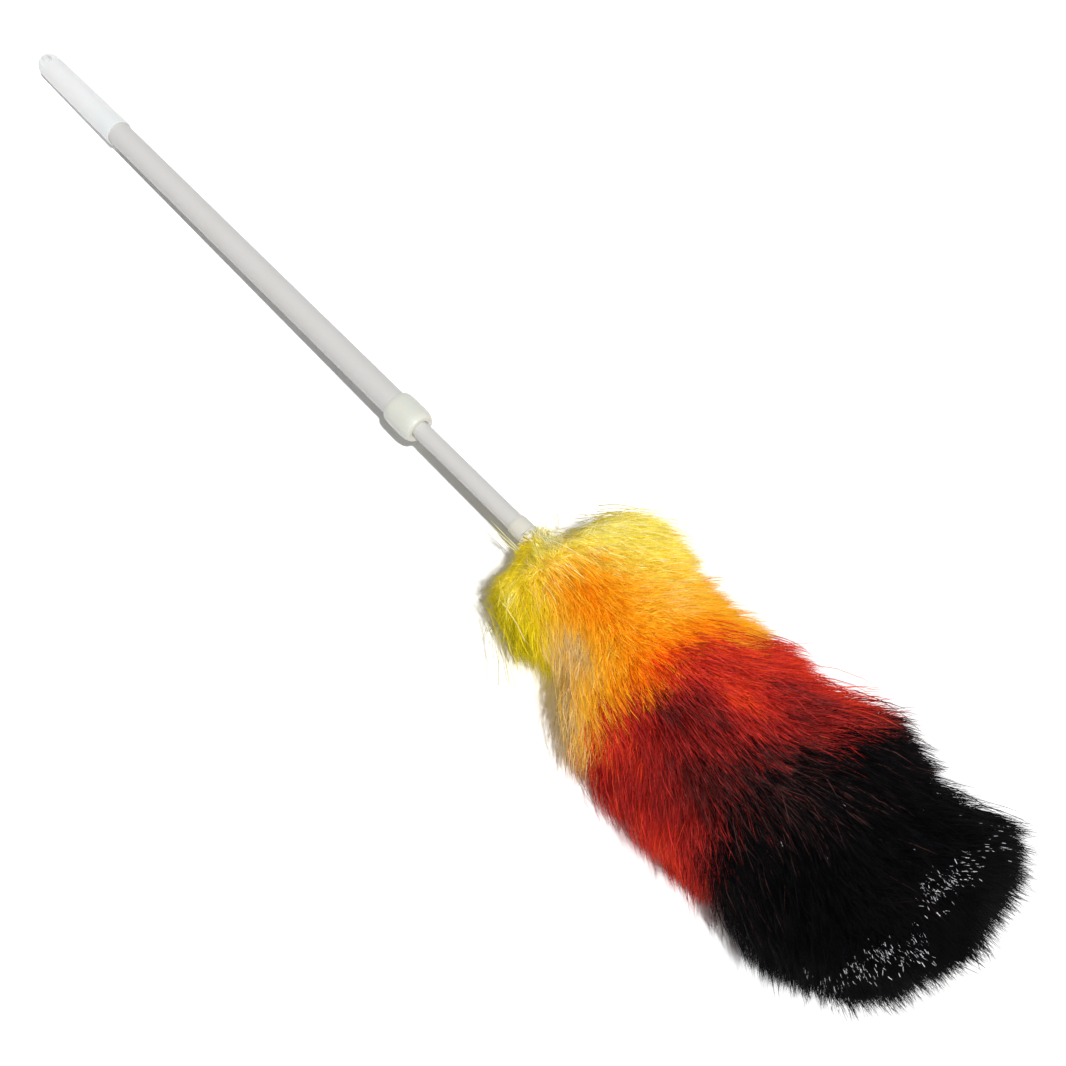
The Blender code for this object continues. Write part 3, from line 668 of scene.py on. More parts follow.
BANDS = (
    PileBand(
        "yellow", "yellow_pile", "yellow_fibre", YELLOW, Border(((0.0, -1.0),)), 0.72,
        (
            Patch(0.045, 66.0, 0.040, 40.0, 0.20),
            # Painted light: a paler tone on the shoulder by the ferrule, which faces away from the lamp.
            Patch(0.028, 40.0, 0.018, 60.0, 0.24),
            Patch(0.062, 112.0, 0.016, 30.0, -0.12),
            # A greener, darker tone on the left: partly the yellow-green of the dye, partly painted shade
            # on the side away from the lamp.
            Patch(0.050, 192.0, 0.060, 44.0, -0.54),
            Patch(0.062, 146.0, 0.026, 12.0, -0.14),
            Patch(0.050, 153.0, 0.020, 6.0, 0.46),
            Patch(0.040, 270.0, 0.080, 50.0, -0.20),
        ),
        bold_highlight_shift=0.14,
    ),
    PileBand(
        "orange", "orange_pile", "orange_fibre", ORANGE,
        Border(
            (
                (0.0, 0.100), (20.0, 0.108), (45.0, 0.112), (60.0, 0.106), (80.0, 0.088),
                (95.0, 0.069), (112.0, 0.062), (130.0, 0.067), (140.0, 0.076), (150.0, 0.0845),
                (165.0, 0.090), (180.0, 0.094), (205.0, 0.097), (230.0, 0.092), (270.0, 0.090),
                (330.0, 0.095),
            ),
            blur=0.007, soft_blur=0.010, soft_side=Side.RIGHT, soft_reach_deg=48.0,
        ),
        0.44,
        (
            Patch(0.066, 112.0, 0.012, 34.0, -0.20),
            Patch(0.105, 112.0, 0.050, 26.0, 0.16),
            Patch(0.150, 112.0, 0.018, 40.0, 0.16),
            Patch(0.160, 107.0, 0.012, 20.0, 0.26),
            Patch(0.163, 72.0, 0.016, 40.0, 0.34),
            Patch(0.115, 55.0, 0.050, 30.0, -0.03),
            Patch(0.121, 189.0, 0.036, 34.0, -0.38),
            Patch(0.112, 142.0, 0.014, 5.0, -0.34),
        ),
        bold_highlight_shift=-0.11,
    ),
    PileBand(
        "red", "red_pile", "red_fibre", RED,
        Border(
            (
                (0.0, 0.168), (15.0, 0.172), (30.0, 0.175), (45.0, 0.177), (60.0, 0.1745),
                (70.0, 0.164), (80.0, 0.1615), (90.0, 0.1595), (100.0, 0.1605), (112.0, 0.1665),
                (120.0, 0.167), (130.0, 0.160), (150.0, 0.155), (180.0, 0.154), (205.0, 0.150),
                (230.0, 0.148), (270.0, 0.153), (330.0, 0.160),
            ),
            blur=0.005,
        ),
        0.78,
        (
            Patch(0.200, 120.0, 0.042, 38.0, -0.26),
            Patch(0.190, 165.0, 0.020, 16.0, -0.07),
            Patch(0.206, 107.0, 0.013, 7.0, -0.26),
            Patch(0.182, 121.0, 0.011, 9.0, -0.20),
            Patch(0.198, 91.0, 0.018, 8.0, 0.18),
            Patch(0.222, 138.0, 0.012, 9.0, -0.16),
            Patch(0.214, 158.0, 0.010, 9.0, -0.14),
            Patch(0.168, 107.0, 0.012, 22.0, 0.42),
            Patch(0.250, 112.0, 0.030, 46.0, -0.28),
            Patch(0.290, 112.0, 0.028, 120.0, -0.50),
        ),
        wander=0.11,
        spread=0.09,
        bold_share=0.18,
        bold_highlight_shift=0.10,
    ),
    PileBand(
        "black", "black_pile", "black_fibre", BLACK,
        Border(
            (
                (0.0, 0.262), (20.0, 0.264), (42.0, 0.266), (55.0, 0.260), (70.0, 0.259),
                (85.0, 0.2515), (100.0, 0.240), (112.0, 0.236), (120.0, 0.236), (135.0, 0.242),
                (150.0, 0.246), (165.0, 0.252), (180.0, 0.2525), (205.0, 0.256), (230.0, 0.250),
                (270.0, 0.245), (330.0, 0.254),
            ),
            blur=0.005, soft_blur=0.012,
        ),
        0.22,
        (
            Patch(0.250, 102.0, 0.026, 42.0, 0.31),
            Patch(0.262, 196.0, 0.010, 8.0, 0.60),
        ),
        spread=0.15,
        bold_share=0.20,
        bold_highlight_shift=0.18,
        most_tone=0.80,
    ),
    PileBand(
        "tip", "tip_pile", "black_fibre", BLACK, Border(((0.0, 0.302),)), 0.22,
        spread=0.10,
        flare=0.0,
        bold_share=0.26,
        most_tone=0.80,
    ),
)


@dataclass(frozen=True)
class GlintArc:
    """A stretch of the black pile where filaments get painted glints: short white dashes in their colour,
    where they bend into the light.
    """

    along: float
    angle_deg: float
    reach: float
    reach_deg: float
    share: float

    def chosen(self, along: np.ndarray, angle: np.ndarray, noise: np.ndarray) -> np.ndarray:
        """Picks the filaments that glint.

        Args:
            along: Distances from the start of the pile.
            angle: Angles round the pole.
            noise: Random numbers from 0 to 1.

        Returns:
            A mask.
        """
        patch = Patch(self.along, self.angle_deg, self.reach, self.reach_deg, self.share)
        return noise < patch.value(along, angle)


# Where the black pile gets painted glints.
GLINTS = (
    GlintArc(0.345, 93.0, 0.006, 10.0, 0.42),
    GlintArc(0.346, 76.0, 0.006, 7.0, 0.24),
    GlintArc(0.344, 147.0, 0.006, 9.0, 0.42),
    GlintArc(0.350, 134.0, 0.006, 9.0, 0.42),
    GlintArc(0.358, 121.0, 0.005, 8.0, 0.30),
    GlintArc(0.346, 48.0, 0.008, 9.0, 0.12),
    GlintArc(0.336, 178.0, 0.010, 12.0, 0.12),
    GlintArc(0.310, 80.0, 0.060, 80.0, 0.002),
)


def mesh_from_arrays(
    name: str,
    verts: np.ndarray,
    quads: np.ndarray,
    tris: np.ndarray,
    quad_uv: np.ndarray,
    tri_uv: np.ndarray,
) -> bpy.types.Mesh:
    """Builds a smooth mesh of quads and triangles with a bake map.

    Args:
        name: Name of the mesh.
        verts: Points.
        quads: Four vertex numbers a face.
        tris: Three vertex numbers a face.
        quad_uv: Map coordinates of the corners of the quads.
        tri_uv: Map coordinates of the corners of the triangles.

    Returns:
        The new mesh.
    """
    mesh = bpy.data.meshes.new(name)
    mesh.vertices.add(len(verts))
    mesh.vertices.foreach_set("co", verts.astype(np.float32).ravel())
    corners = np.concatenate((quads.ravel(), tris.ravel())).astype(np.int32)
    mesh.loops.add(len(corners))
    mesh.loops.foreach_set("vertex_index", corners)
    starts = np.concatenate(
        (np.arange(len(quads)) * 4, len(quads) * 4 + np.arange(len(tris)) * 3)
    ).astype(np.int32)
    mesh.polygons.add(len(starts))
    mesh.polygons.foreach_set("loop_start", starts)
    mesh.update(calc_edges=True)
    mesh.polygons.foreach_set("use_smooth", np.ones(len(starts), bool))
    layer = mesh.uv_layers.new(name=UV_NAME)
    flat = np.concatenate((quad_uv.reshape(-1, 2), tri_uv.reshape(-1, 2)))
    layer.uv.foreach_set("vector", flat.astype(np.float32).ravel())
    mesh.validate()
    return mesh


def add_piece(name: str, mesh: bpy.types.Mesh) -> bpy.types.Object:
    """Links a new piece of the duster into the scene.

    Args:
        name: Name of the piece.
        mesh: Its mesh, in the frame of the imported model.

    Returns:
        The new object.
    """
    piece = bpy.data.objects.new(name, mesh)
    bpy.context.scene.collection.objects.link(piece)
    return piece


class Draw(Enum):
    """What is added to the seed of the head for each further source of random numbers."""

    MIDDLE = 3
    DEPTH = 4
    FLOW = 5
    SPIKE = 6
    TILT = 7
    LOCK = 8
    TONE = 9
    BOLD = 11
    WHISKER = 12


@dataclass(frozen=True)
class Strand:
    """Size of a filament, and how its tone and its reach, darkened by painted shade, go into the bake map.
    """

    length: float = 0.046
    length_range: tuple[float, float] = (0.70, 1.15)
    least_length: float = 0.004
    rod_gap: float = 0.008
    least_inward: float = 0.30
    thickness: float = 0.00035
    thickness_range: tuple[float, float] = (0.7, 1.3)
    taper: float = 0.35
    rings: int = 4
    sides: int = 3
    bold_width: float = 1.9
    # Painted shade: each filament is darkened by a random share, up to one depth for bold filaments and
    # another for fine ones.
    bold_shade_depth: float = 0.15
    fine_shade_depth: float = 0.72
    shade_depth_power: float = 1.5
    half_tone: float = 0.004
    # The map's second coordinate rises from the root to the tip; the shade ramp paints shade where it is
    # low.
    root_reach: float = 0.2
    reach_rise: float = 0.79
    floor_gap: float = 0.0006
    floor_spread: float = 0.002

    def facets(self, rings: int) -> tuple[np.ndarray, np.ndarray, np.ndarray, np.ndarray]:
        """Lists the faces of one filament.

        Args:
            rings: How many points it has from its root to its tip.

        Returns:
            Vertex numbers of the quads and of the triangles, and the ring that each corner is on.
        """
        sides = self.sides
        quads, tris, quad_ring, tri_ring = [], [], [], []
        for ring in range(rings - 2):
            for corner in range(sides):
                beside = (corner + 1) % sides
                low, high = ring * sides, (ring + 1) * sides
                quads.append((low + corner, low + beside, high + beside, high + corner))
                quad_ring.append((ring, ring, ring + 1, ring + 1))
        last = (rings - 2) * sides
        for corner in range(sides):
            tris.append((last + corner, last + (corner + 1) % sides, last + sides))
            tri_ring.append((rings - 2, rings - 2, rings - 1))
        tris.append(tuple(range(sides))[::-1])
        tri_ring.append((0, 0, 0))
        return np.array(quads), np.array(tris), np.array(quad_ring), np.array(tri_ring)


@dataclass(frozen=True)
class Stand:
    """How far filaments end under or over the surface of the pile, and which of them stand out."""

    tuft_depth: float = 0.0020
    own_depth: float = 0.0022
    lock_swell: float = 0.0016
    start: tuple[float, float] = (-0.015, 0.02)
    tier_side: Side = Side.RIGHT
    tier_least: float = 0.35
    tier_before: float = 0.016
    tier_after: float = 0.020
    spiky_cells: float = 0.45
    spiky_factor: float = 1.9
    plain_factor: float = 0.25
    long_share: float = 0.17
    long_reach: float = 0.0090
    long_least: float = 0.25
    long_power: float = 0.8
    long_start: tuple[float, float] = (0.02, 0.08)
    stray_share: float = 0.0015
    stray_reach: float = 0.0110
    back_share: float = 0.03
    back_until: float = 0.040
    back_reach: float = 0.004


@dataclass(frozen=True)
class Lay:
    """How filaments lie, in degrees from the surface's normal, and how they bend and drift."""

    lie_deg: Curve = (
        (-0.01, 18.0), (0.02, 34.0), (0.05, 50.0), (0.10, 60.0), (0.29, 60.0), (0.33, 48.0),
        (0.352, 24.0), (0.365, 8.0),
    )  # fmt: skip
    bend_deg: Curve = ((0.0, 22.0), (0.05, 36.0), (0.30, 36.0), (0.36, 12.0))
    spread_deg: float = 5.5
    long_spread_deg: float = 9.0
    tilt_deg: float = 5.0
    tilt_length: float = 0.050
    back_deg: float = -35.0
    back_spread_deg: float = 24.0
    drift: float = 0.08
    long_drift: float = 0.15
    tip_drift: float = 0.18
    tip_start: tuple[float, float] = (0.30, 0.34)
    flow: float = 0.10
    flow_length: float = 0.060


@dataclass(frozen=True)
class PaintedGlint:
    """The painted glint: a short white dash in the colour near the end of a filament that glints."""

    rings: int = 22
    width: float = 0.9
    places: int = 4
    # Tone of the painted glint, which the black ramp turns white.
    tone: float = 0.92
    tone_rise: float = 0.072
    tone_power: float = 0.5


@dataclass(frozen=True)
class Whisker:
    """The few pale filaments that reach back from the pile beside the ferrule."""

    count: int = 12
    spread_deg: float = 17.0
    root: float = 0.024
    back: tuple[float, float] = (0.008, 0.030)
    rise: tuple[float, float] = (-0.002, 0.006)
    rise_power: float = 1.4
    drift: float = 0.003
    radius: float = 0.012
    width: float = 1.4
    tone: float = 0.97
    floor_gap: float = 0.001


@dataclass(frozen=True)
class UnderBody:
    """The soft closed body inside a band: its mesh, its ends, how far under the pile it stays, and the
    painted shade that darkens it.
    """

    sides: int = 64
    rows: int = 22
    start: float = 0.018
    end: float = 0.350
    scale: float = 0.80
    inset: float = 0.003
    least_radius: float = 0.004
    tip_lean: float = 0.012
    tip_start: tuple[float, float] = (0.28, 0.34)
    floor_gap: float = 0.003
    end_tone: float = 0.5
    # Low places in the map's second coordinate, which give the under-body the painted shade of the ramp's
    # inner end.
    quad_shade_at: tuple[float, ...] = (0.02, 0.06, 0.06, 0.02)
    tri_shade_at: tuple[float, ...] = (0.02, 0.06, 0.04)


@dataclass(frozen=True)
class Kinds:
    """Which filaments stand out, which of them stray or reach back, and how high each spike is."""

    long: np.ndarray
    stray: np.ndarray
    back: np.ndarray
    spike_height: np.ndarray


@dataclass
class PileHead:
    """The soft head: filaments in bands of colour, over a soft body, wound on the rod."""

    line: PoleLine
    shape: HeadShape = HeadShape()
    strand: Strand = Strand()
    stand: Stand = Stand()
    lay: Lay = Lay()
    dash: PaintedGlint = PaintedGlint()
    whisker: Whisker = Whisker()
    under: UnderBody = UnderBody()
    count: int = 130000
    seed: int = 21
    tuft: float = 0.0026
    tuft_pull: float = 0.42
    lock: float = 0.011
    lock_pull: float = 0.08
    spike: float = 0.0068
    spike_pull: float = 0.62
    pull_power: float = 1.6
    cell_radius: float = 0.070
    cell_middle: tuple[float, float] = (0.2, 0.8)
    border_waves: Waves = Waves(5, 0.030)
    border_wander: float = 0.002
    piece_limit: int = 11500
    setback: float = 0.0103

    def build(self) -> None:
        """Grows every band and puts it in place of its CAD solid."""
        draw = np.random.default_rng(self.seed)
        tips = self.shape.at(*self.shape.scatter(self.count, draw))
        band_of = self.band_of(tips, draw)
        points, across = self.paths(tips, draw)
        materials = {finish: finish.material() for finish in dict.fromkeys(band.finish for band in BANDS)}
        tuft = self.table(Draw.TONE)[self.cell_of(tips, self.tuft)[2]]
        noise = draw.normal(0.0, 1.0, self.count)
        luck = draw.uniform(0.0, 1.0, self.count)
        boldness = self.source(Draw.BOLD).uniform(0.0, 1.0, self.count)
        for index, band in enumerate(BANDS):
            inside = np.flatnonzero(band_of == index)
            along, angle = tips.along[inside], tips.angle[inside]
            bold = boldness[inside] < band.bold_share
            tone = band.tones(along, angle, tuft[inside], noise[inside], bold)
            width = np.where(bold, self.strand.bold_width, 1.0)
            glint_mask = np.zeros(len(inside), bool)
            # Filaments of the black bands that carry a painted glint.
            if band.finish is BLACK:
                for arc in GLINTS:
                    glint_mask |= arc.chosen(along, angle, luck[inside])
            order = np.argsort(np.sin(angle), kind="stable")
            order = order[~glint_mask[order]]
            pieces = []
            for part, chosen in enumerate(np.array_split(order, math.ceil(len(inside) / self.piece_limit))):
                name = f"{band.name}_filaments_{part + 1}"
                own = inside[chosen]
                tones = np.repeat(tone[chosen][:, None], self.strand.rings, axis=1)
                mesh = self.strands_mesh(name, points[own], across[own], tones, width[chosen], draw)
                pieces.append(add_piece(name, mesh))
            if glint_mask.any():
                own = inside[glint_mask]
                fine, tones = self.paint_glints(points[own], tone[glint_mask], draw)
                name = f"{band.name}_glints"
                thin = np.full(len(own), self.dash.width)
                mesh = self.strands_mesh(name, fine, across[own], tones, thin, draw)
                pieces.append(add_piece(name, mesh))
            if band.finish is YELLOW:
                pieces.append(self.whiskers())
            pieces.append(self.under_body(index))
            for piece in pieces:
                piece.data.materials.append(materials[band.finish])
                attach(piece, "head")
                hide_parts(band.node)
                LOG.info("%s: %d faces", piece.name, len(piece.data.polygons))

    def source(self, use: Draw) -> np.random.Generator:
        """Returns the source of random numbers for one use."""
        return np.random.default_rng(self.seed + use.value)

    def table(self, use: Draw) -> np.ndarray:
        """Returns normal random numbers for one use, to be picked by the numbers of tufts."""
        return self.source(use).normal(0.0, 1.0, TABLE_SIZE)

    def band_of(self, tips: Tips, draw: np.random.Generator) -> np.ndarray:
        """Tells which band each filament belongs to.

        Args:
            tips: Where the filaments end.
            draw: Source of random numbers.

        Returns:
            Indices into BANDS.
        """
        found = np.zeros(len(tips.along), int)
        noise = draw.normal(0.0, 1.0, len(tips.along))
        wander = self.border_wander * self.border_waves.value(tips.along, tips.angle)
        for band in BANDS[1:]:
            border = band.start.place(tips.angle)
            found += tips.along + wander + noise * band.start.spread(tips.angle) > border
        return found

    def tier_swell(self, tips: Tips) -> np.ndarray:
        """Gives how far the end of each tier stands over the start of the next.

        Args:
            tips: Where the filaments end.

        Returns:
            Changes of the radius.
        """
        stand = self.stand
        total = np.zeros_like(tips.along)
        turn = turned(tips.angle, stand.tier_side.value)
        side = stand.tier_least + (1.0 - stand.tier_least) * np.cos(turn) ** 2
        for band in BANDS[1:4]:
            before = band.start.place(tips.angle) - tips.along
            over, under = np.exp(-before / stand.tier_before), -np.exp(before / stand.tier_after)
            total += band.flare * side * np.where(before >= 0.0, over, under)
        return total

    def kinds(self, tips: Tips, draw: np.random.Generator) -> Kinds:
        """Chooses the filaments that stand out.

        Args:
            tips: Where the filaments end.
            draw: Source of random numbers.

        Returns:
            The choice.
        """
        count = len(tips.along)
        heights = self.source(Draw.SPIKE).uniform(0.0, 1.0, TABLE_SIZE)
        spike_height = heights[self.cell_of(tips, self.spike)[2]]
        spiky = spike_height > 1.0 - self.stand.spiky_cells
        factor = np.where(spiky, self.stand.spiky_factor, self.stand.plain_factor)
        luck = draw.uniform(0.0, 1.0, count)
        long = luck < self.stand.long_share * factor
        stray = luck < self.stand.stray_share
        back = draw.uniform(0.0, 1.0, count) < self.stand.back_share
        return Kinds(long, stray, (tips.along < self.stand.back_until) & back, spike_height)

    def insets(self, tips: Tips, kinds: Kinds, draw: np.random.Generator) -> np.ndarray:
        """Works out how far under the surface each filament ends.

        Args:
            tips: Where the filaments end, on the surface.
            kinds: Which of them stand out.
            draw: Source of random numbers.

        Returns:
            Depths, below zero for those that end over the surface.
        """
        stand, along, count = self.stand, tips.along, len(tips.along)
        depth = np.abs(self.table(Draw.DEPTH)[self.cell_of(tips, self.tuft)[2]]) - 0.5
        inset = stand.tuft_depth * depth + np.abs(draw.normal(0.0, stand.own_depth, count))
        spike = stand.long_least + (1.0 - stand.long_least) * kinds.spike_height
        reach = stand.long_reach * spike * draw.uniform(0.0, 1.0, count) ** stand.long_power
        reach = np.where(kinds.stray, stand.stray_reach, reach) * smooth(along, *stand.long_start)
        inset = np.where(kinds.long, -reach, inset)
        inset = inset - stand.lock_swell * self.table(Draw.LOCK)[self.cell_of(tips, self.lock)[2]]
        inset = inset - self.tier_swell(tips)
        inset = inset * smooth(along, *stand.start)
        return np.where(kinds.back, -stand.back_reach, inset)

    def lies(self, tips: Tips, kinds: Kinds, draw: np.random.Generator) -> np.ndarray:
        """Works out how far each filament leans from the surface's normal at its tip.

        Args:
            tips: Where the filaments end.
            kinds: Which of them stand out.
            draw: Source of random numbers.

        Returns:
            Angles toward the tip of the duster.
        """
        lay, count = self.lay, len(tips.along)
        tilt = Waves(self.seed + Draw.TILT.value, lay.tilt_length).value(tips.along, tips.angle)
        spread = np.where(kinds.long, lay.long_spread_deg, lay.spread_deg)
        lie = np.interp(tips.along, *zip(*lay.lie_deg))
        lie = lie + lay.tilt_deg * tilt + draw.normal(0.0, 1.0, count) * spread
        back = lay.back_deg + draw.normal(0.0, lay.back_spread_deg, count)
        return np.radians(np.where(kinds.back, back, lie))

    def drifts(self, tips: Tips, kinds: Kinds, draw: np.random.Generator) -> np.ndarray:
        """Works out how far each filament strays round the pole on its way to the tip.

        Args:
            tips: Where the filaments end.
            kinds: Which of them stand out.
            draw: Source of random numbers.

        Returns:
            Parts of the filament's direction.
        """
        lay = self.lay
        flow = Waves(self.seed + Draw.FLOW.value, lay.flow_length).value(tips.along, tips.angle)
        loose = np.where(kinds.long, lay.long_drift, lay.drift)
        loose = loose + lay.tip_drift * smooth(tips.along, *lay.tip_start)
        return lay.flow * flow + draw.normal(0.0, 1.0, len(tips.along)) * loose

    def paths(self, tips: Tips, draw: np.random.Generator) -> tuple[np.ndarray, np.ndarray]:
        """Works out the points along each filament, from its root to its tip.

        Args:
            tips: Where the filaments end.
            draw: Source of random numbers.

        Returns:
            The points, and a direction across each filament.
        """
        strand, count = self.strand, len(tips.along)
        kinds = self.kinds(tips, draw)
        inset = self.insets(tips, kinds, draw)
        lie = self.lies(tips, kinds, draw)
        bend = np.radians(np.interp(tips.along, *zip(*self.lay.bend_deg)))
        drift = self.drifts(tips, kinds, draw)
        cos, sin = np.cos(tips.angle), np.sin(tips.angle)
        side, up, axis = self.line.directions()
        flat = 1.0 - (1.0 - self.shape.height_ratio) * smooth(tips.radius, *self.shape.flat_from)
        outward = cos[:, None] * side + (sin * flat)[:, None] * up
        round_it = -sin[:, None] * side + cos[:, None] * up
        toward = tips.slope_along[:, None] * axis + tips.slope_out[:, None] * outward
        normal = -tips.slope_out[:, None] * axis + tips.slope_along[:, None] * outward
        point = self.origin() + tips.along[:, None] * axis + tips.radius[:, None] * outward
        point = point - inset[:, None] * normal
        inward = np.cos(lie - bend / 2) * tips.slope_along + np.sin(lie - bend / 2) * tips.slope_out
        reach = strand.length * draw.uniform(*strand.length_range, count)
        room = np.maximum(tips.radius - strand.rod_gap, strand.least_length)
        reach = np.minimum(reach, room / np.maximum(inward, strand.least_inward))
        pull = self.pull_to(tips, self.tuft, self.tuft_pull, axis, round_it)
        pull = pull + self.pull_to(tips, self.lock, self.lock_pull, axis, round_it)
        to_spike = self.pull_to(tips, self.spike, self.spike_pull, axis, round_it)
        pull = np.where((kinds.long & ~kinds.stray)[:, None], to_spike, pull)
        steps = strand.rings - 1
        points = np.empty((count, strand.rings, 3))
        for ring in range(steps, -1, -1):
            share = ring / steps
            points[:, ring] = point + pull * share**self.pull_power
            turn = lie - bend * (1.0 - (ring - 0.5) / steps)
            way = np.cos(turn)[:, None] * normal + np.sin(turn)[:, None] * toward
            way = way + (drift * share)[:, None] * round_it
            way /= np.linalg.norm(way, axis=1)[:, None]
            point = point - way * (reach / steps)[:, None]
        floor = strand.floor_gap + draw.uniform(0.0, strand.floor_spread, count)
        points[:, :, 2] = np.maximum(points[:, :, 2], floor[:, None])
        return points, round_it

    def origin(self) -> np.ndarray:
        """Returns the point of the axis that places on the head are measured from."""
        return np.array(self.line.at(self.line.distance_of("yellow_pile", 0) - self.setback))

    def columns(self, size: float) -> int:
        """Returns how many tufts of a size go round the head."""
        return round(math.tau * self.cell_radius / size)

    def cell_of(self, tips: Tips, size: float) -> tuple[np.ndarray, np.ndarray, np.ndarray]:
        """Tells which tuft each filament is in.

        Args:
            tips: Where the filaments end.
            size: Size of a tuft.

        Returns:
            Places in rows and columns of tufts, and for each tuft its number in the tables.
        """
        row, column = tips.along / size, tips.angle / math.tau * self.columns(size)
        cell = np.floor(row).astype(int) * ROW_STEP + np.floor(column).astype(int) * COLUMN_STEP
        return row, column, np.abs(cell) % TABLE_SIZE

    def pull_to(
        self, tips: Tips, size: float, share: float, axis: np.ndarray, round_it: np.ndarray
    ) -> np.ndarray:
        """Finds how far each tip moves toward the middle of its tuft.

        Args:
            tips: Where the filaments end.
            size: Size of a tuft.
            share: Part of the way that it moves.
            axis: Direction of the pole.
            round_it: Directions round the pole.

        Returns:
            The moves.
        """
        row, column, cell = self.cell_of(tips, size)
        middle = self.source(Draw.MIDDLE).uniform(*self.cell_middle, (TABLE_SIZE, 2))[cell]
        pull_along = (np.floor(row) + middle[:, 0] - row) * size
        turns = (np.floor(column) + middle[:, 1] - column) / self.columns(size)
        pull_round = turns * math.tau * tips.radius
        return share * (pull_along[:, None] * axis + pull_round[:, None] * round_it)

    def paint_glints(
        self, points: np.ndarray, tone: np.ndarray, draw: np.random.Generator
    ) -> tuple[np.ndarray, np.ndarray]:
        """Divides filaments finely and puts one short white dash near the end of each: a painted glint.

        Args:
            points: For each filament, its points from the root to the tip.
            tone: The tone of each filament.
            draw: Source of random numbers.

        Returns:
            More points along each filament, and the tones at them.
        """
        dash = self.dash
        count, rings = points.shape[:2]
        place = np.linspace(0.0, rings - 1.0, dash.rings)
        low = np.minimum(place.astype(int), rings - 2)
        share = (place - low)[None, :, None]
        fine = points[:, low] * (1.0 - share) + points[:, low + 1] * share
        tones = np.repeat(tone[:, None], dash.rings, axis=1)
        first = dash.rings - 2 - draw.integers(0, dash.places, count)
        bright = dash.tone + dash.tone_rise * draw.uniform(0.0, 1.0, count) ** dash.tone_power
        for ring in (first, first - 1):
            tones[np.arange(count), ring] = bright
        return fine, tones

    def whiskers(self) -> bpy.types.Object:
        """Makes the few pale filaments that reach back from the pile beside the ferrule.

        Returns:
            The new piece.
        """
        draw, whisker = self.source(Draw.WHISKER), self.whisker
        count = whisker.count
        angle = np.radians(draw.normal(Side.LEFT.value, whisker.spread_deg, count))
        cos, sin = np.cos(angle), np.sin(angle)
        side, up, axis = self.line.directions()
        outward = cos[:, None] * side + sin[:, None] * up
        round_it = -sin[:, None] * side + cos[:, None] * up
        share = np.linspace(0.0, 1.0, self.strand.rings)[None]
        back = draw.uniform(*whisker.back, count)[:, None]
        rise = draw.uniform(*whisker.rise, count)[:, None]
        drift = draw.normal(0.0, whisker.drift, count)[:, None]
        place = whisker.root - (whisker.root + back) * share
        radius = whisker.radius + rise * share**whisker.rise_power
        points = self.origin() + place[..., None] * axis
        points = points + radius[..., None] * outward[:, None]
        points = points + (drift * share**2)[..., None] * round_it[:, None]
        points[:, :, 2] = np.maximum(points[:, :, 2], whisker.floor_gap)
        tones = np.full((count, self.strand.rings), whisker.tone)
        width = np.full(count, whisker.width)
        mesh = self.strands_mesh("yellow_whiskers", points, round_it, tones, width, draw)
        return add_piece("yellow_whiskers", mesh)

    def strands_mesh(
        self,
        name: str,
        points: np.ndarray,
        across: np.ndarray,
        tones: np.ndarray,
        width: np.ndarray,
        draw: np.random.Generator,
    ) -> bpy.types.Mesh:
        """Makes thin closed tapers along lines of points.

        Args:
            name: Name of the mesh.
            points: For each filament, its points from the root to the tip.
            across: A direction across each filament.
            tones: The tones of each filament at its points.
            width: How many times the usual thickness each filament has.
            draw: Source of random numbers.

        Returns:
            The mesh, with tone, and reach darkened by painted shade, in its bake map.
        """
        strand, sides = self.strand, self.strand.sides
        count, rings = points.shape[:2]
        way = points[:, -1] - points[:, 0]
        way /= np.linalg.norm(way, axis=1)[:, None] + TINY
        first = np.cross(way, across)
        first /= np.linalg.norm(first, axis=1)[:, None] + TINY
        second = np.cross(way, first)
        size = strand.thickness / 2 * draw.uniform(*strand.thickness_range, count) * width
        reach = np.arange(rings) / (rings - 1)
        taper = 1.0 - strand.taper * reach**2
        body = np.empty((count, rings - 1, sides, 3))
        for corner in range(sides):
            turn = math.tau * corner / sides
            offset = (math.cos(turn) * first + math.sin(turn) * second) * size[:, None]
            body[:, :, corner] = points[:, :-1] + offset[:, None] * taper[None, :-1, None]
        verts = np.concatenate((body.reshape(count, -1, 3), points[:, -1:]), axis=1)
        quads, tris, quad_ring, tri_ring = strand.facets(rings)
        shift = (np.arange(count) * verts.shape[1])[:, None, None]
        # Painted shade: a random darkening for each filament, as if it lay in the shade of others; bold
        # ones get less of it.
        depth = np.where(width > 1.0, strand.bold_shade_depth, strand.fine_shade_depth)[:, None, None]
        lit = 1.0 - depth * draw.uniform(0.0, 1.0, (count, 1, 1)) ** strand.shade_depth_power
        half, maps = strand.half_tone, []
        for ring, offset in ((quad_ring, (-half, half, half, -half)), (tri_ring, (-half, half, 0.0))):
            height = (strand.root_reach + strand.reach_rise * reach[ring][None]) * lit
            maps.append(np.stack((tones[:, ring] + np.array(offset), height), -1))
        faces = ((item[None] + shift).reshape(-1, item.shape[1]) for item in (quads, tris))
        return mesh_from_arrays(name, verts.reshape(-1, 3), *faces, *maps)

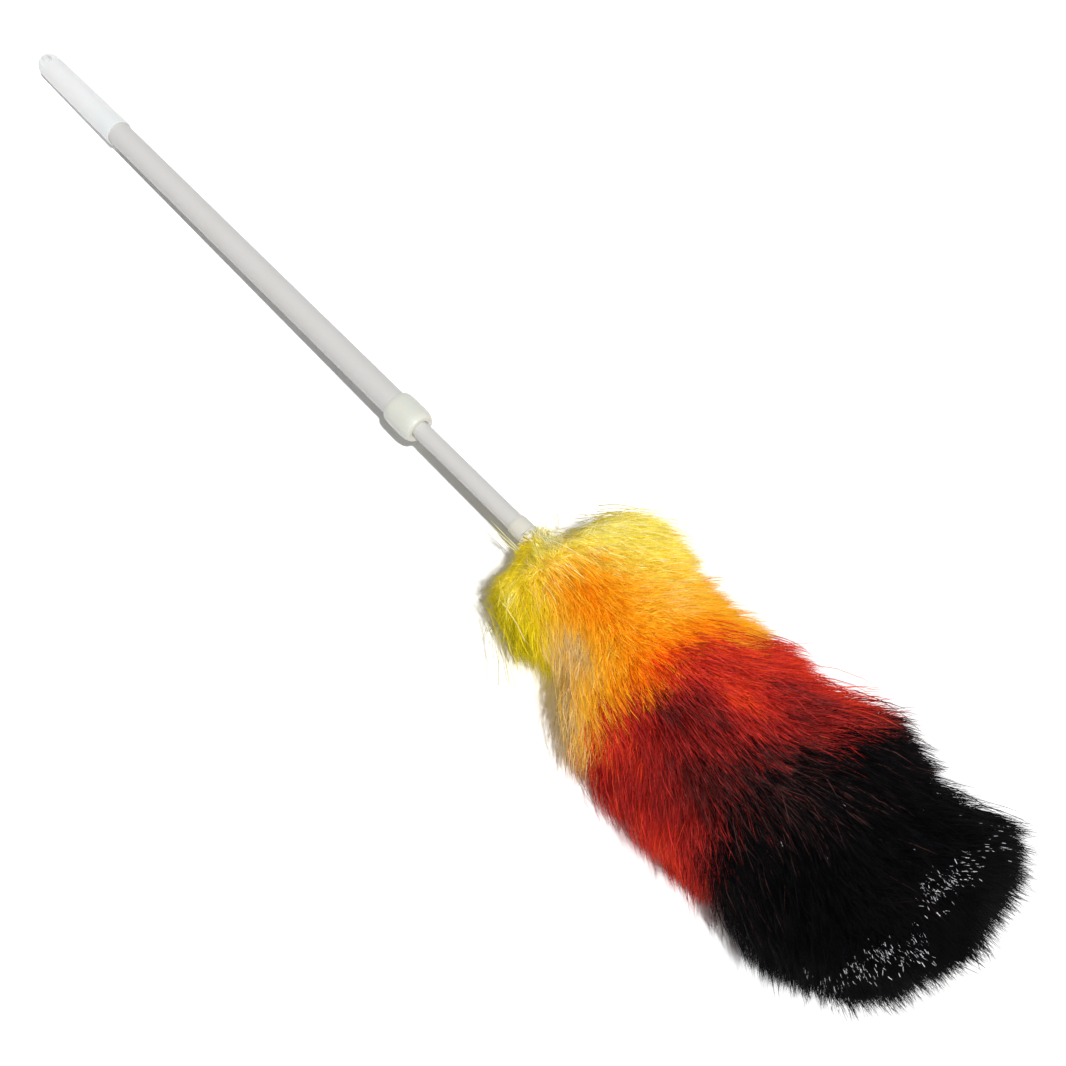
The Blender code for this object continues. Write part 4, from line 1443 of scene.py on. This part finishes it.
    def under_body(self, index: int) -> bpy.types.Object:
        """Makes the soft closed body that fills the space under a band's filaments, darkened with painted
        shade.

        Args:
            index: Which band.

        Returns:
            The new piece.
        """
        band, under = BANDS[index], self.under
        sides = under.sides
        angle = np.arange(sides) / sides * math.tau
        low = np.full(sides, under.start) if index == 0 else band.start.place(angle)
        last = index + 1 == len(BANDS)
        high = np.full(sides, under.end) if last else BANDS[index + 1].start.place(angle)
        along, outward, _ = self.shape.curve()
        share = np.linspace(0.0, 1.0, under.rows)[:, None]
        share = np.sin(share * math.pi / 2) if last else share
        place = low + (high - low) * share
        turn = np.broadcast_to(angle, place.shape)
        lean = self.shape.lean(place, turn) + under.tip_lean * smooth(place, *under.tip_start)
        radius = np.interp(place + lean, along, outward) * self.shape.bulge(place, turn)
        radius = np.maximum(radius * under.scale - under.inset, under.least_radius)
        end_radius = np.full((1, sides), under.least_radius)
        radius = np.concatenate((end_radius, radius, end_radius))
        place = np.concatenate((place[:1], place, place[-1:]))
        turn = np.broadcast_to(angle, place.shape)
        side, up, axis = self.line.directions()
        start = self.origin()
        verts = (
            start
            + place[..., None] * axis
            + (radius * np.cos(turn))[..., None] * side
            + (radius * np.sin(turn) * self.shape.height_ratio)[..., None] * up
        ).reshape(-1, 3)
        verts[:, 2] = np.maximum(verts[:, 2], under.floor_gap)
        ends = start + np.array((place[0].mean(), place[-1].mean()))[:, None] * axis
        verts = np.concatenate((verts, ends))
        quads, tris = self.barrel(len(place), sides)
        still = np.zeros(place.size)
        tone = band.tones(place.reshape(-1), turn.reshape(-1), still, still, still)
        tone = np.concatenate((tone, (under.end_tone, under.end_tone)))
        # The under-body's map puts it in the painted shade of the ramp's inner end.
        maps = (
            np.stack((tone[faces], np.broadcast_to(reach, faces.shape)), -1)
            for faces, reach in ((quads, under.quad_shade_at), (tris, under.tri_shade_at))
        )
        name = f"{band.name}_under_pile"
        return add_piece(name, mesh_from_arrays(name, verts, quads, tris, *maps))

    @staticmethod
    def barrel(rows: int, sides: int) -> tuple[np.ndarray, np.ndarray]:
        """Lists the faces of a barrel whose two end points come after its rings.

        Args:
            rows: How many rings it has.
            sides: How many points a ring has.

        Returns:
            Vertex numbers of the quads and of the triangles.
        """
        quads, tris, total = [], [], rows * sides
        for row in range(rows - 1):
            for column in range(sides):
                beside = (column + 1) % sides
                low, high = row * sides, (row + 1) * sides
                quads.append((low + column, high + column, high + beside, low + beside))
        for column in range(sides):
            beside = (column + 1) % sides
            tris.append((total, column, beside))
            tris.append((total + 1, total - sides + beside, total - sides + column))
        return np.array(quads), np.array(tris)


@dataclass(frozen=True)
class Pole:
    """The rigid pieces, which keep their CAD shapes and get their plastics."""

    tube: PlasticFinish = PlasticFinish("tube grey", (0.72, 0.715, 0.71), 0.42, coat=0.1)
    # The grip's emission is a painted glow that brightens the frosted plastic, as if light came through it.
    grip: PlasticFinish = PlasticFinish(
        "grip frosted", (0.87, 0.885, 0.905), 0.35, transmission=0.22, subsurface=0.2, painted_glow=0.13, bump=0.1
    )
    collar: PlasticFinish = PlasticFinish(
        "collar milky", (0.80, 0.82, 0.76), 0.36, subsurface=0.3, coat=0.1
    )
    nylon: PlasticFinish = PlasticFinish("natural nylon", (0.78, 0.77, 0.72), 0.5)
    ferrule: PlasticFinish = PlasticFinish("ferrule white", (0.785, 0.77, 0.71), 0.42)
    rod: PlasticFinish = PlasticFinish("rod white", (0.70, 0.70, 0.68), 0.5)

    def dress(self) -> None:
        """Gives each rigid CAD node its material."""
        worn = {
            self.tube: ("outer_tube", "inner_tube"),
            self.grip: ("hand_grip",),
            self.collar: ("lock_collar",),
            self.nylon: ("collet_sleeve", "pressure_ring", "guide_bush", "end_plug"),
            self.ferrule: ("head_ferrule",),
            self.rod: ("core_rod", "tip_cap"),
        }
        strips = {
            "yellow_strip": (0.80, 0.62, 0.06),
            "orange_strip": (0.85, 0.30, 0.02),
            "red_strip": (0.45, 0.02, 0.02),
            "black_strip": (0.01, 0.01, 0.011),
        }
        for name, colour in strips.items():
            worn[PlasticFinish(name.replace("_", " "), colour, 0.8, mottle=0.1, bump=0.4)] = (name,)
        for finish, names in worn.items():
            material = finish.material()
            for name in names:
                node = frame["nodes"][name]
                node.data.materials.clear()
                node.data.materials.append(material)
                LOG.info("%s: %s", name, finish.name)


def background_rays(tree: bpy.types.NodeTree) -> bpy.types.NodeSocket:
    """Picks the rays that see the white background: direct, reflected and through clear plastic.

    Args:
        tree: Nodes of the floor's material or of the world.

    Returns:
        A socket that is 1 for those rays and 0 for the ones that light the object.
    """
    path = tree.nodes.new("ShaderNodeLightPath")
    seen = path.outputs["Is Camera Ray"]
    for kind in ("Is Glossy Ray", "Is Transmission Ray"):
        seen = math_node(tree, "MAXIMUM", seen, path.outputs[kind])
    return seen


@dataclass(frozen=True)
class Studio:
    """Floor, lamps and camera, as in the photograph."""

    line: PoleLine
    look_down_deg: float = 61.4
    heading_deg: float = 139.04
    aim_at: float = 0.1298
    aim_right: float = -0.3114
    aim_down: float = -0.3005
    aim_ahead: float = 1.148
    lens_mm: float = 50.0
    sensor_mm: float = 36.0
    near: float = 0.01
    far: float = 50.0
    key_right: float = 0.19
    key_back: float = 0.40
    key_up: float = 0.895
    key_strength: float = 2.85
    key_angle_deg: float = 2.5
    ambient: float = 0.165
    floor_size: float = 12.0
    floor_grey: float = 0.80
    shown_grey: float = 1.22

    def axes(self) -> tuple[Vector, Vector, Vector]:
        """Gives the camera's right, down and forward directions.

        Returns:
            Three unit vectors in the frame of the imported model.
        """
        down, turn = math.radians(self.look_down_deg), math.radians(self.heading_deg)
        ahead = Vector((math.cos(down) * math.cos(turn), math.cos(down) * math.sin(turn), -math.sin(down)))
        right = Vector((math.sin(turn), -math.cos(turn), 0.0))
        return right, ahead.cross(right), ahead

    def camera(self) -> None:
        """Places the camera where the photograph was taken from."""
        right, down, ahead = self.axes()
        aim = self.line.at(self.aim_at)
        place = aim - right * self.aim_right - down * self.aim_down - ahead * self.aim_ahead
        data = bpy.data.cameras.new("photo camera")
        data.lens = self.lens_mm
        data.sensor_width = self.sensor_mm
        data.clip_start = self.near
        data.clip_end = self.far
        camera = bpy.data.objects.new("photo camera", data)
        turn = Matrix((right, -down, -ahead)).transposed().to_4x4()
        camera.matrix_world = Matrix.Translation(place) @ turn
        bpy.context.scene.collection.objects.link(camera)
        bpy.context.scene.camera = camera

    def floor(self) -> None:
        """Lays a pale floor that shows white to the camera, with the shadow on it."""
        half = self.floor_size / 2
        mesh = bpy.data.meshes.new("floor")
        corners = [(-half, -half, 0), (half, -half, 0), (half, half, 0), (-half, half, 0)]
        mesh.from_pydata(corners, [], [(0, 1, 2, 3)])
        floor = bpy.data.objects.new("floor", mesh)
        bpy.context.scene.collection.objects.link(floor)
        made = bpy.data.materials.new("paper floor")
        made.use_nodes = True
        nodes, links = made.node_tree.nodes, made.node_tree.links
        nodes.clear()
        out = nodes.new("ShaderNodeOutputMaterial")
        paper = nodes.new("ShaderNodeBsdfDiffuse")
        colour = nodes.new("ShaderNodeMix")
        colour.data_type = "RGBA"
        for socket, grey in (("A", self.floor_grey), ("B", self.shown_grey)):
            colour.inputs[socket].default_value = (grey, grey, grey, 1.0)
        links.new(background_rays(made.node_tree), colour.inputs["Factor"])
        links.new(colour.outputs["Result"], paper.inputs["Color"])
        links.new(paper.outputs[0], out.inputs["Surface"])
        mesh.materials.append(made)

    def lamps(self) -> None:
        """Sets one key lamp from above on the camera's side, over even light from all round."""
        right, _, ahead = self.axes()
        away = Vector((ahead.x, ahead.y, 0.0)).normalized()
        toward = right * self.key_right - away * self.key_back + Vector((0.0, 0.0, self.key_up))
        data = bpy.data.lights.new("key lamp", "SUN")
        data.energy = self.key_strength
        data.angle = math.radians(self.key_angle_deg)
        key = bpy.data.objects.new("key lamp", data)
        key.rotation_mode = "QUATERNION"
        key.rotation_quaternion = toward.to_track_quat("Z", "Y")
        bpy.context.scene.collection.objects.link(key)
        world = bpy.data.worlds.new("studio")
        bpy.context.scene.world = world
        world.use_nodes = True
        nodes, links = world.node_tree.nodes, world.node_tree.links
        level = nodes.new("ShaderNodeMapRange")
        level.inputs["To Min"].default_value = self.ambient
        level.inputs["To Max"].default_value = 1.0
        links.new(background_rays(world.node_tree), level.inputs["Value"])
        background = nodes["Background"]
        background.inputs["Color"].default_value = (1.0, 1.0, 1.0, 1.0)
        links.new(level.outputs["Result"], background.inputs["Strength"])

    def build(self) -> None:
        """Builds the floor, the lamps and the camera."""
        self.floor()
        self.lamps()
        self.camera()
        bpy.context.scene.view_settings.view_transform = "Standard"


def main() -> None:
    """Builds the studio, dresses the pole and grows the head."""
    logging.basicConfig(level=logging.INFO, format="%(message)s")
    line = PoleLine.from_record()
    Studio(line).build()
    Pole().dress()
    PileHead(line).build()


if __name__ == "__main__":
    main()
